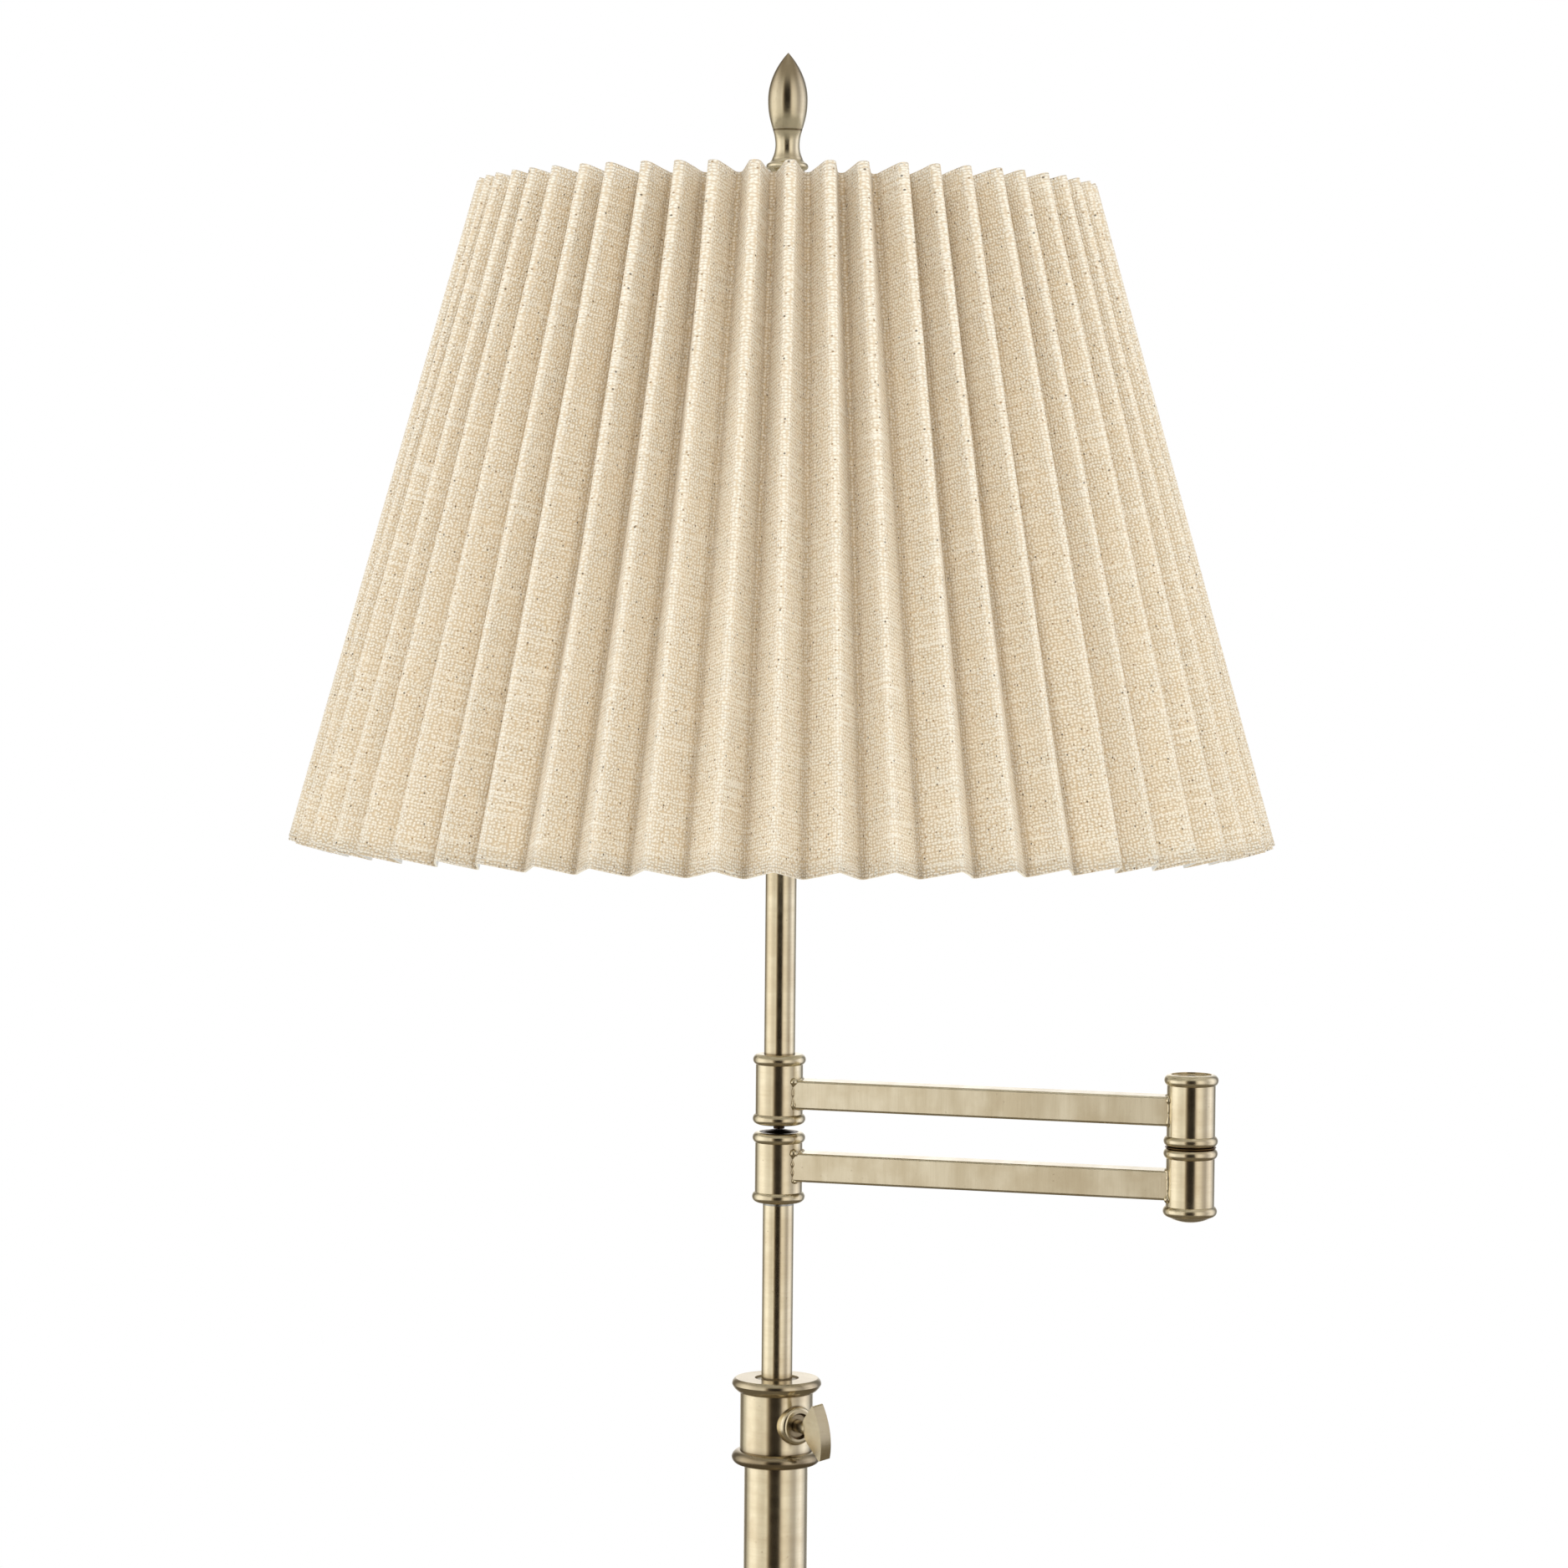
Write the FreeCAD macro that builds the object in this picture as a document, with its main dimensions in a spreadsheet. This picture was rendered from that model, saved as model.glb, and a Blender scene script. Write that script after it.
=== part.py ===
import FreeCAD, Part
import math
import os

import Sketcher

# Swing-arm bridge floor lamp: a weighted round base, a two-piece pole, a thin post that
# slides in it, two folding arms and a pleated shade on a harp.
# Millimetres.  +Z is up, +X runs along the folded arms, -Y is the front, and the origin
# is on the floor under the pole.

V = FreeCAD.Vector

# ---------------------------------------------------------------- driving dimensions
SHEET_NAME = "Dims"
DIMENSIONS = [
    # base cover
    ("base_radius", 130.0), ("base_wall", 1.2), ("rim_lift", 1.0), ("rim_height", 12.0),
    ("rim_rounding", 6.0), ("rim_step_inset", 18.0), ("step_rise", 4.0), ("slope_rise", 7.5),
    ("crown_ledge", 12.0), ("crown_run", 6.0), ("crown_drop", 0.6), ("crown_taper", 0.4),
    # weight and pad
    ("pad_thickness", 2.0), ("pad_inset", 4.0), ("weight_gap", 1.0), ("weight_drop", 6.0),
    ("weight_chamfer", 5.0), ("weight_seat_inset", 3.0), ("recess_gap", 4.0),
    ("recess_depth", 10.0), ("slot_gap", 1.5), ("slot_headroom", 0.9),
    # threaded rod through the base and its fasteners
    ("rod_radius", 4.75), ("rod_bore", 3.0), ("rod_clearance", 0.45), ("washer_radius", 14.0),
    ("washer_thickness", 1.6), ("nut_wall", 2.25), ("nut_height", 5.5), ("rod_tail", 2.0),
    # cord bushing
    ("bushing_bore", 3.3), ("bushing_wall", 1.7), ("bushing_lip", 1.8),
    ("bushing_lip_width", 1.6), ("bushing_lip_taper", 0.6), ("bushing_length", 9.0),
    # pole
    ("pole_radius", 13.23), ("pole_wall", 1.2), ("foot_height", 27.0), ("foot_web", 4.0),
    ("foot_flange_proud", 8.55), ("foot_flange_height", 6.0), ("foot_flange_rounding", 4.0),
    ("foot_cove", 3.6), ("foot_bead_proud", 0.6), ("plug_height", 20.0),
    ("lower_pole_length", 406.0), ("coupling_height", 10.0), ("coupling_bulge", 1.6),
    ("spigot_length", 15.0), ("upper_pole_length", 425.1),
    # collar at the top of the pole
    ("collar_wall", 1.95), ("collar_height", 36.0), ("collar_seat", 10.0),
    ("flange_proud", 3.47), ("flange_height", 6.0), ("flange_edge", 1.5), ("collar_bead", 3.05),
    ("bead_inset", 0.05), ("bead_meet", 0.3), ("bush_wall", 2.7), ("bush_recess", 1.0),
    ("key_height", 18.2),
    # thumb key
    ("key_azimuth", 33.0), ("boss_wall", 3.4), ("boss_proud", 2.42), ("boss_depth", 6.5),
    ("boss_rounding", 1.9), ("boss_mouth", 0.8), ("boss_recess_depth", 1.6),
    ("boss_recess_gap", 2.1), ("shank_radius", 2.6), ("shank_tip_gap", 0.3),
    ("shank_chamfer", 0.9), ("wing_gap", 7.0), ("wing_length", 12.3),
    ("wing_corner_length", 8.8), ("wing_half_height", 11.1), ("wing_half_root", 3.6),
    ("wing_half_shoulder", 5.6), ("wing_shoulder_run", 1.6), ("wing_corner_half", 0.9),
    ("wing_corner_rounding", 0.95), ("wing_rim_rounding", 26.0), ("wing_thickness", 5.0),
    ("wing_tilt", 9.0),
    # sliding post
    ("post_radius", 6.45), ("post_wall", 1.2), ("post_exposed", 73.8), ("slide_down", 70.0),
    ("post_floor_gap", 18.8), ("running_gap", 0.05), ("seat_gap", 0.3), ("stop_height", 12.0),
    ("stop_chamfer", 1.0), ("stud_plug", 20.0), ("stud_tip", 1.0), ("thrust_washer", 0.8),
    # hubs, sleeves and arms
    ("hub_step", 3.4), ("hub_wall", 1.65), ("hub_height", 29.4), ("lower_sleeve_height", 28.2),
    ("hub_bead", 2.35), ("bead_proud", 1.15), ("hub_web", 5.0), ("hub_gap", 3.2),
    ("arm_length", 175.0), ("arm_azimuth", 17.4), ("bar_size", 12.0), ("bar_wall", 1.2),
    ("bar_rounding", 1.2), ("upper_bar_height", 13.0), ("lower_bar_height", 15.4),
    ("lock_nut_height", 4.5), ("lock_nut_gap", 0.5), ("pivot_gap", 0.4),
    ("pivot_head_height", 1.5), ("pivot_head_gap", 1.1), ("wire_hole_radius", 4.0),
    # caps on the hubs and sleeves
    ("cap_thickness", 2.0), ("cap_dome", 1.1), ("cap_rim", 1.9), ("nub_radius", 2.3),
    ("nub_fillet", 0.2), ("bottom_dome", 2.3), ("bottom_cap_plug", 2.5),
    ("top_plug_recess", 0.5), ("top_plug_thickness", 2.0), ("top_plug_rim", 1.2),
    ("top_plug_dish", 0.5),
    # riser, check ring and harp saddle
    ("riser_length", 136.6), ("riser_seat", 6.0), ("nipple_over_saddle", 8.0),
    ("check_ring_radius", 9.5), ("check_ring_height", 4.0), ("check_ring_cove", 2.5),
    ("check_ring_edge", 1.0), ("check_ring_lip", 1.5), ("check_ring_cove_rounding", 2.2),
    ("saddle_thickness", 1.5), ("saddle_half_width", 7.0), ("saddle_rise", 10.0),
    ("saddle_bend_gap", 2.0), ("saddle_bend_taper", 0.8), ("saddle_tab_overlap", 0.5),
    ("saddle_tab_height", 8.5), ("saddle_tab_half_width", 2.0), ("saddle_tab_gap", 0.1),
    # harp
    ("harp_foot_gap", 14.5), ("harp_bulge", 27.0), ("harp_wire", 1.6), ("harp_height", 205.0),
    ("harp_shoulder", 5.0), ("harp_shoulder_rounding", 26.0), ("harp_flank_inset", 3.0),
    ("harp_flank_rounding", 40.0), ("harp_top_inset", 4.6), ("harp_top_rounding", 60.0),
    ("harp_crown_half", 27.0), ("harp_crown_flat", 16.0), ("harp_crown_rounding", 14.0),
    ("ferrule_bore", 3.4), ("ferrule_wall", 1.0), ("ferrule_height", 9.0),
    ("ferrule_edge", 0.5), ("harp_plate", 2.0), ("harp_plate_radius", 9.0),
    ("harp_stud_radius", 3.175), ("harp_stud_length", 16.0), ("harp_stud_chamfer", 0.8),
    # socket
    ("lamp_thread_radius", 13.2), ("screw_shell_wall", 0.4), ("screw_shell_height", 24.0),
    ("socket_gap", 0.6), ("liner_wall", 0.6), ("socket_wall", 0.7), ("cap_land", 0.75),
    ("socket_cap_height", 19.0), ("cap_bead_proud", 0.7), ("cap_bead_height", 0.8),
    ("socket_shell_height", 46.0), ("shell_overlap", 3.0), ("shell_flare", 1.0),
    ("shell_flare_height", 6.0), ("shell_flare_run", 2.0), ("shell_flare_wall", 0.4),
    ("core_lift", 4.0), ("core_taper", 3.5), ("core_land", 6.0), ("socket_core_height", 24.0),
    ("contact_height", 2.4), ("contact_tip_radius", 2.6),
    # bulb
    ("bulb_radius", 30.0), ("bulb_length", 108.0), ("bulb_base_height", 25.0),
    ("bulb_wall", 0.8), ("bulb_tip_radius", 4.6), ("bulb_shoulder", 3.4),
    ("bulb_shoulder_inset", 2.4), ("bulb_lead", 1.0), ("bulb_lead_inset", 0.4),
    ("bulb_lead_rise", 0.8), ("bulb_neck_flare", 1.4), ("bulb_neck_height", 7.0),
    ("bulb_neck_rounding", 20.0), ("bulb_flank_rounding", 80.0), ("bulb_flank_share", 0.88),
    ("bulb_flank_drop", 0.475),
    # switch
    ("switch_height", 4.6), ("switch_stem_radius", 1.6), ("switch_hole_gap", 0.4),
    ("knob_radius", 5.6), ("knob_length", 13.0), ("knob_gap", 1.6), ("knob_skirt_inset", 1.0),
    ("knob_skirt_height", 1.6), ("knob_shoulder", 0.8), ("knob_draft", 0.5),
    ("knob_edge", 1.2), ("knob_flute", 0.8), ("knob_flute_offset", 0.45),
    ("knob_flutes", 12.0),
    # shade
    ("shade_top_radius", 127.6), ("shade_bottom_radius", 204.0), ("shade_height", 270.4),
    ("rim_over_spider", 5.0), ("pleats", 54.0), ("pleat_depth_top", 14.2),
    ("pleat_depth_bottom", 12.4), ("fabric_thickness", 0.8), ("pleat_twist_top", 0.6),
    ("pleat_twist_bottom", -0.8), ("pleat_wander", 0.06), ("ring_wire", 1.5),
    ("ring_gap", 0.35), ("ring_inset", 5.0),
    ("spider_washer_radius", 12.5), ("spider_washer_thickness", 1.5), ("spider_wire", 1.35),
    ("spider_root", 3.0),
    # finial
    ("finial_height", 58.8), ("finial_foot_radius", 7.6), ("finial_foot_land", 2.0),
    ("finial_foot_step", 1.4), ("finial_stem_height", 8.8), ("finial_flange_radius", 7.95),
    ("finial_flange_run", 2.0), ("finial_flange_land", 2.6), ("finial_neck_radius", 5.0),
    ("finial_neck_run", 2.2), ("finial_seam_radius", 6.15), ("finial_leaf_radius", 8.2),
    ("finial_leaf_height", 31.9), ("finial_belly_height", 19.4), ("finial_tip_gap", 3.1),
]


class Size:
    """A number together with the sheet formula that gives it."""

    def __init__(self, value, text=None):
        self.value = float(value)
        self.text = text if text is not None else repr(float(value))

    def __add__(self, other):
        other = as_size(other)
        return Size(self.value + other.value, f"({self.text} + {other.text})")

    def __sub__(self, other):
        other = as_size(other)
        return Size(self.value - other.value, f"({self.text} - {other.text})")

    def __mul__(self, other):
        other = as_size(other)
        return Size(self.value * other.value, f"({self.text} * {other.text})")

    def __truediv__(self, other):
        other = as_size(other)
        return Size(self.value / other.value, f"({self.text} / {other.text})")

    def __neg__(self):
        return Size(-self.value, f"(0 - {self.text})")

    def __radd__(self, other):
        return as_size(other) + self

    def __rsub__(self, other):
        return as_size(other) - self

    def __rmul__(self, other):
        return as_size(other) * self


def as_size(number):
    return number if isinstance(number, Size) else Size(number)


def cosine(angle):
    return Size(math.cos(math.radians(angle.value)), f"cos({angle.text})")


def sine(angle):
    return Size(math.sin(math.radians(angle.value)), f"sin({angle.text})")


def root(size):
    return Size(math.sqrt(size.value), f"sqrt({size.text})")


def make_sheet(doc):
    sheet = doc.addObject("Spreadsheet::Sheet", SHEET_NAME)
    for row, (alias, value) in enumerate(DIMENSIONS, start=1):
        sheet.set(f"A{row}", alias)
        sheet.set(f"B{row}", str(value))
        sheet.setAlias(f"B{row}", alias)
    doc.recompute()
    return sheet


doc = FreeCAD.newDocument("BridgeLamp")
sheet = make_sheet(doc)
D = {alias: Size(sheet.get(alias), f"{SHEET_NAME}.{alias}") for alias, _ in DIMENSIONS}
parts = []


# ---------------------------------------------------------------- drawing helpers
def bind(target, path, size):
    target.setExpression(path, as_size(size).text)


def origin_plane(body, role):
    return next(feature for feature in body.Origin.OriginFeatures if feature.Role == role)


def new_sketch(body, name, role="XZ_Plane", lift=None, tilt=None):
    """A sketch on one of the body's own planes, lifted off it and tilted about its x axis."""
    sketch = body.newObject("Sketcher::SketchObject", name)
    sketch.AttachmentSupport = [(origin_plane(body, role), "")]
    sketch.MapMode = "FlatFace"
    if lift is not None:
        bind(sketch, "AttachmentOffset.Base.z", lift)
    if tilt is not None:
        sketch.AttachmentOffset = FreeCAD.Placement(V(), FreeCAD.Rotation(V(1, 0, 0), tilt.value))
        bind(sketch, "AttachmentOffset.Rotation.Angle", tilt)
    return sketch


def constrain(sketch, kind, size, *where):
    index = sketch.addConstraint(Sketcher.Constraint(kind, *where, size.value))
    name = f"c{index}"
    sketch.renameConstraint(index, name)
    bind(sketch, f"Constraints.{name}", size)


def arc_through(start, end, radius):
    """The short arc between two points: a positive radius turns left, a negative one right."""
    chord = end - start
    middle = (start + end) * 0.5
    rise = math.sqrt(max(radius * radius - chord.Length ** 2 / 4.0, 0.0))
    normal = V(-chord.y, chord.x, 0).normalize()
    centre = middle + normal * (rise if radius > 0 else -rise)
    first, last = (start, end) if radius > 0 else (end, start)
    angles = [math.atan2(point.y - centre.y, point.x - centre.x) for point in (first, last)]
    return Part.ArcOfCircle(Part.Circle(centre, V(0, 0, 1), abs(radius)), angles[0], angles[1])


def bent_curve(start, end, handles):
    """A smooth curve between two points, drawn towards a handle at each end."""
    curve = Part.BezierCurve()
    curve.setPoles([start] + [V(x.value, y.value, 0) for x, y in handles] + [end])
    return curve.toBSpline()


def draw(sketch, points, closed=True):
    """Draw stretches through (x, y), (x, y, arc radius) or (x, y, handle, handle) points.

    A straight line, an arc or a curve towards two (x, y) handles ends at its own point.
    """
    count = len(points)
    corners = [(as_size(point[0]), as_size(point[1])) for point in points]
    spots = [V(x.value, y.value, 0) for x, y in corners]
    stretches = []
    for i in range(count if closed else count - 1):
        j = (i + 1) % count
        shaping = points[j][2:]
        ends = (1, 2)
        if len(shaping) == 2:
            handles = [(as_size(x), as_size(y)) for x, y in shaping]
            shape = sketch.addGeometry(bent_curve(spots[i], spots[j], handles))
        elif len(shaping) == 1:
            radius = as_size(shaping[0])
            shape = sketch.addGeometry(arc_through(spots[i], spots[j], radius.value))
            constrain(sketch, "Radius", radius if radius.value > 0 else -radius, shape)
            ends = (1, 2) if radius.value > 0 else (2, 1)
        else:
            shape = sketch.addGeometry(Part.LineSegment(spots[i], spots[j]))
        stretches.append((shape, ends))
    for i, (shape, ends) in enumerate(stretches):
        following = stretches[(i + 1) % len(stretches)]
        if closed or i + 1 < len(stretches):
            joint = (shape, ends[1], following[0], following[1][0])
            sketch.addConstraint(Sketcher.Constraint("Coincident", *joint))
        pin_down(sketch, corners[i], shape, ends[0])
    if not closed:
        shape, ends = stretches[-1]
        pin_down(sketch, corners[-1], shape, ends[1])


def pin_down(sketch, corner, shape, end):
    constrain(sketch, "DistanceX", corner[0], -1, 1, shape, end)
    constrain(sketch, "DistanceY", corner[1], -1, 1, shape, end)


def draw_circle(sketch, x, y, radius):
    x, y, radius = as_size(x), as_size(y), as_size(radius)
    circle = Part.Circle(V(x.value, y.value, 0), V(0, 0, 1), radius.value)
    shape = sketch.addGeometry(circle)
    constrain(sketch, "Radius", radius, shape)
    constrain(sketch, "DistanceX", x, -1, 1, shape, 3)
    constrain(sketch, "DistanceY", y, -1, 1, shape, 3)


def draw_polygon(sketch, sides, flats):
    """A regular polygon about the origin, given its distance across the flats."""
    reach = flats / 2 / cosine(Size(180.0 / sides))
    turns = [Size(360.0 * i / sides) for i in range(sides)]
    draw(sketch, [(reach * cosine(turn), reach * sine(turn)) for turn in turns])


NUT_SIDES = 6
HEXAGON_INSET = math.cos(math.pi / NUT_SIDES)
FULL_TURN = 360.0


def new_body(name):
    return doc.addObject("PartDesign::Body", name + "_body")


def place(thing, x=0.0, y=0.0, z=0.0, turn=None):
    """Put a piece at x, y, z, turned about the vertical."""
    if turn is not None:
        thing.Placement = FreeCAD.Placement(V(), FreeCAD.Rotation(V(0, 0, 1), turn.value))
        bind(thing, "Placement.Rotation.Angle", turn)
    for axis, size in (("x", x), ("y", y), ("z", z)):
        bind(thing, f"Placement.Base.{axis}", size)


def keep(thing, name):
    thing.Label = name
    parts.append(thing)
    return thing


def turned(name, points, body=None):
    """A solid of revolution about the body's Z axis from an outline of (radius, height)."""
    body = body or new_body(name)
    sketch = new_sketch(body, name + "_outline")
    draw(sketch, points)
    spin(body, name, sketch, "V_Axis")
    return body


def spin(body, name, sketch, axis):
    feature = body.newObject("PartDesign::Revolution", name + "_turn")
    feature.Profile = sketch
    feature.ReferenceAxis = (sketch, [axis])
    feature.Angle = FULL_TURN


def padded(body, sketch, length, both_ways=False):
    feature = body.newObject("PartDesign::Pad", sketch.Name + "_pad")
    feature.Profile = sketch
    bind(feature, "Length", length)
    feature.Midplane = both_ways
    return feature


def pocketed(body, sketch, length, both_ways=False, reverse=False):
    feature = body.newObject("PartDesign::Pocket", sketch.Name + "_pocket")
    feature.Profile = sketch
    bind(feature, "Length", length)
    feature.Midplane = both_ways
    feature.Reversed = reverse
    return feature


def swept(body, name, path_points, section_role, section_lift, section_x, section_y, radius):
    """A round wire along an open path drawn in the body's XZ plane."""
    path = new_sketch(body, name + "_path")
    draw(path, path_points, closed=False)
    section = new_sketch(body, name + "_section", section_role, section_lift)
    draw_circle(section, section_x, section_y, radius)
    doc.recompute()
    pipe = body.newObject("PartDesign::AdditivePipe", name + "_pipe")
    pipe.Profile = section
    pipe.Spine = path
    return pipe


def rectangle(x0, y0, x1, y1):
    return [(x0, y0), (x1, y0), (x1, y1), (x0, y1)]


def tube_outline(inner, outer, bottom, top):
    return rectangle(inner, bottom, outer, top)


def ring_tube(name, inner, outer, height):
    return turned(name, tube_outline(inner, outer, Size(0), height))


def cut_from(name, base, tool):
    """The base with the tool taken out of it."""
    cut = doc.addObject("Part::Cut", name + "_cut")
    cut.Base = base
    cut.Tool = tool
    return cut


# ---------------------------------------------------------------- shared radii
POLE_BORE = D["pole_radius"] - D["pole_wall"]
POST_BORE = D["post_radius"] - D["post_wall"]
COLLAR_RADIUS = D["pole_radius"] + D["collar_wall"]
FLANGE_RADIUS = COLLAR_RADIUS + D["flange_proud"]
FOOT_RADIUS = COLLAR_RADIUS + D["foot_flange_proud"]
CROWN_RADIUS = FOOT_RADIUS + D["crown_ledge"]
BUSH_RADIUS = D["post_radius"] + D["running_gap"] + D["bush_wall"]
NUT_FLATS = (D["rod_radius"] + D["nut_wall"]) * 2
RECESS_RADIUS = D["washer_radius"] + D["recess_gap"]
BUSHING_RADIUS = D["bushing_bore"] + D["bushing_wall"]
BUSHING_LIP_RADIUS = BUSHING_RADIUS + D["bushing_lip_width"]
BOSS_RECESS = D["shank_radius"] + D["boss_recess_gap"]
BOSS_RADIUS = BOSS_RECESS + D["boss_wall"]
BOSS_REACH = COLLAR_RADIUS + D["boss_proud"]
WING_START = BOSS_REACH + D["wing_gap"]
HUB_RADIUS = D["post_radius"] + D["hub_step"]
HUB_HOLLOW = HUB_RADIUS - D["hub_wall"]
LOCK_FLATS = (HUB_HOLLOW - D["lock_nut_gap"]) * 2 * HEXAGON_INSET
HEAD_RADIUS = HUB_HOLLOW - D["pivot_head_gap"]
LINER_RADIUS = (D["lamp_thread_radius"] + D["seat_gap"] + D["screw_shell_wall"] + D["socket_gap"]
                + D["liner_wall"])
SOCKET_RADIUS = LINER_RADIUS + D["socket_wall"] * 2
HARP_FOOT = SOCKET_RADIUS + D["harp_foot_gap"]
TAB_OUTER = HARP_FOOT - D["harp_wire"] - D["saddle_tab_gap"]
TAB_INNER = TAB_OUTER - D["saddle_thickness"]
ROD_HOLE = D["rod_radius"] + D["rod_clearance"]
STUD_HOLE = D["rod_radius"] + D["running_gap"]
SHANK_HOLE = D["shank_radius"] + D["running_gap"]
SWITCH_HOLE = D["switch_stem_radius"] + D["switch_hole_gap"]

# ---------------------------------------------------------------- shared heights
COVER_TOP = D["rim_lift"] + D["rim_height"] + D["rim_rounding"] + D["step_rise"] + D["slope_rise"]
FOOT_TOP = COVER_TOP + D["foot_height"]
POLE_START = COVER_TOP + D["foot_web"]
COUPLING_START = POLE_START + D["lower_pole_length"]
UPPER_POLE_START = COUPLING_START + D["coupling_height"]
POLE_END = UPPER_POLE_START + D["upper_pole_length"]
COLLAR_START = POLE_END - D["collar_seat"]
COLLAR_END = COLLAR_START + D["collar_height"]
KEY_AXIS = COLLAR_START + D["key_height"]
LOWER_HUB_START = COLLAR_END + D["post_exposed"]
LOWER_HUB_END = LOWER_HUB_START + D["hub_height"]
POST_END = LOWER_HUB_START - D["seat_gap"] - D["thrust_washer"]
POST_START = UPPER_POLE_START + D["spigot_length"] + D["slide_down"] + D["post_floor_gap"]
PIVOT_LEVEL = LOWER_HUB_END + D["hub_gap"] / 2
LOWER_SLEEVE_END = PIVOT_LEVEL - D["pivot_gap"] / 2
LOWER_SLEEVE_START = LOWER_SLEEVE_END - D["lower_sleeve_height"]
UPPER_SLEEVE_START = PIVOT_LEVEL + D["pivot_gap"] / 2
UPPER_HUB_START = PIVOT_LEVEL + D["hub_gap"] / 2
UPPER_HUB_END = UPPER_HUB_START + D["hub_height"]
LOWER_BAR_LEVEL = LOWER_HUB_START + D["lower_bar_height"]
UPPER_BAR_LEVEL = UPPER_HUB_START + D["upper_bar_height"]
RISER_START = UPPER_HUB_END - D["riser_seat"]
RISER_END = RISER_START + D["riser_length"]
SADDLE_START = RISER_END + D["check_ring_height"]
SADDLE_TOP = SADDLE_START + D["saddle_thickness"]
HARP_START = SADDLE_TOP + D["saddle_rise"]
HARP_PLATE_START = HARP_START + D["harp_height"]
HARP_PLATE_END = HARP_PLATE_START + D["harp_plate"]
SPIDER_START = HARP_PLATE_END + D["seat_gap"]
SPIDER_END = SPIDER_START + D["spider_washer_thickness"]
SHADE_TOP = SPIDER_END + D["rim_over_spider"]
SHADE_BOTTOM = SHADE_TOP - D["shade_height"]
FINIAL_START = SPIDER_END + D["seat_gap"]
CAP_TOP = SADDLE_TOP + D["socket_cap_height"]
SHELL_START = CAP_TOP - D["shell_overlap"]
SHELL_END = SHELL_START + D["socket_shell_height"]
CORE_START = SADDLE_TOP + D["core_lift"]
CORE_END = CORE_START + D["socket_core_height"]
SWITCH_AXIS = CAP_TOP + D["switch_height"]
BUSHING_AXIS = D["rim_lift"] + BUSHING_LIP_RADIUS

PIVOT_X = D["arm_length"] * cosine(D["arm_azimuth"])
PIVOT_Y = -(D["arm_length"] * sine(D["arm_azimuth"]))
ARM_TURN = -D["arm_azimuth"]


# ---------------------------------------------------------------- base
def base_cover():
    """Spun shell with a rounded rim, one step and a long slope up to the pole."""
    wall = D["base_wall"]
    outer = D["base_radius"]
    rounding = D["rim_rounding"]
    step = outer - D["rim_step_inset"]
    low = D["rim_lift"]
    shoulder = low + D["rim_height"]
    ledge = shoulder + rounding
    tread = ledge + D["step_rise"]
    body = turned("base_cover", [
        (outer - wall, low),
        (outer, low),
        (outer, shoulder),
        (outer - rounding, ledge, rounding),
        (step + D["step_rise"], ledge),
        (step, tread, -D["step_rise"]),
        (CROWN_RADIUS + D["crown_run"], COVER_TOP - D["crown_drop"]),
        (CROWN_RADIUS, COVER_TOP),
        (ROD_HOLE, COVER_TOP),
        (ROD_HOLE, COVER_TOP - wall),
        (CROWN_RADIUS - D["crown_taper"], COVER_TOP - wall),
        (CROWN_RADIUS + D["crown_run"] - D["crown_taper"], COVER_TOP - D["crown_drop"] - wall),
        (step - wall, tread - wall),
        (step + D["step_rise"], ledge - wall, D["step_rise"] + wall),
        (outer - rounding, ledge - wall),
        (outer - wall, shoulder, -(rounding - wall)),
    ])
    hole = new_sketch(body, "base_cover_bushing_hole", "XZ_Plane")
    draw_circle(hole, 0.0, BUSHING_AXIS, BUSHING_RADIUS)
    pocketed(body, hole, outer * 2)
    return keep(body, "base_cover")


def base_weight():
    """Cast ring that fills the cover, recessed for the nut and slotted for the cord."""
    outer = D["base_radius"] - D["base_wall"] - D["weight_gap"]
    low = D["pad_thickness"]
    step = D["base_radius"] - D["rim_step_inset"]
    drop = D["base_wall"] + D["weight_drop"]
    chamfer = D["weight_chamfer"]
    ledge = D["rim_lift"] + D["rim_height"] + D["rim_rounding"] - drop
    tread = ledge + D["step_rise"]
    seat = COVER_TOP - D["base_wall"]
    body = turned("base_weight", [
        (RECESS_RADIUS, low),
        (outer, low),
        (outer, ledge - chamfer),
        (outer - chamfer, ledge),
        (step, ledge),
        (step - chamfer, tread - D["crown_drop"]),
        (CROWN_RADIUS + D["crown_run"], COVER_TOP - drop - D["crown_drop"]),
        (CROWN_RADIUS - D["weight_seat_inset"], seat),
        (ROD_HOLE, seat),
        (ROD_HOLE, low + D["recess_depth"]),
        (RECESS_RADIUS, low + D["recess_depth"]),
    ])
    slot = new_sketch(body, "base_weight_cord_slot", "XY_Plane", low)
    half = BUSHING_RADIUS + D["slot_gap"]
    draw(slot, rectangle(-half, RECESS_RADIUS / 2, half, D["base_radius"]))
    depth = BUSHING_AXIS + BUSHING_RADIUS + D["slot_headroom"] - low
    pocketed(body, slot, depth, reverse=True)
    return keep(body, "base_weight")


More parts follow.
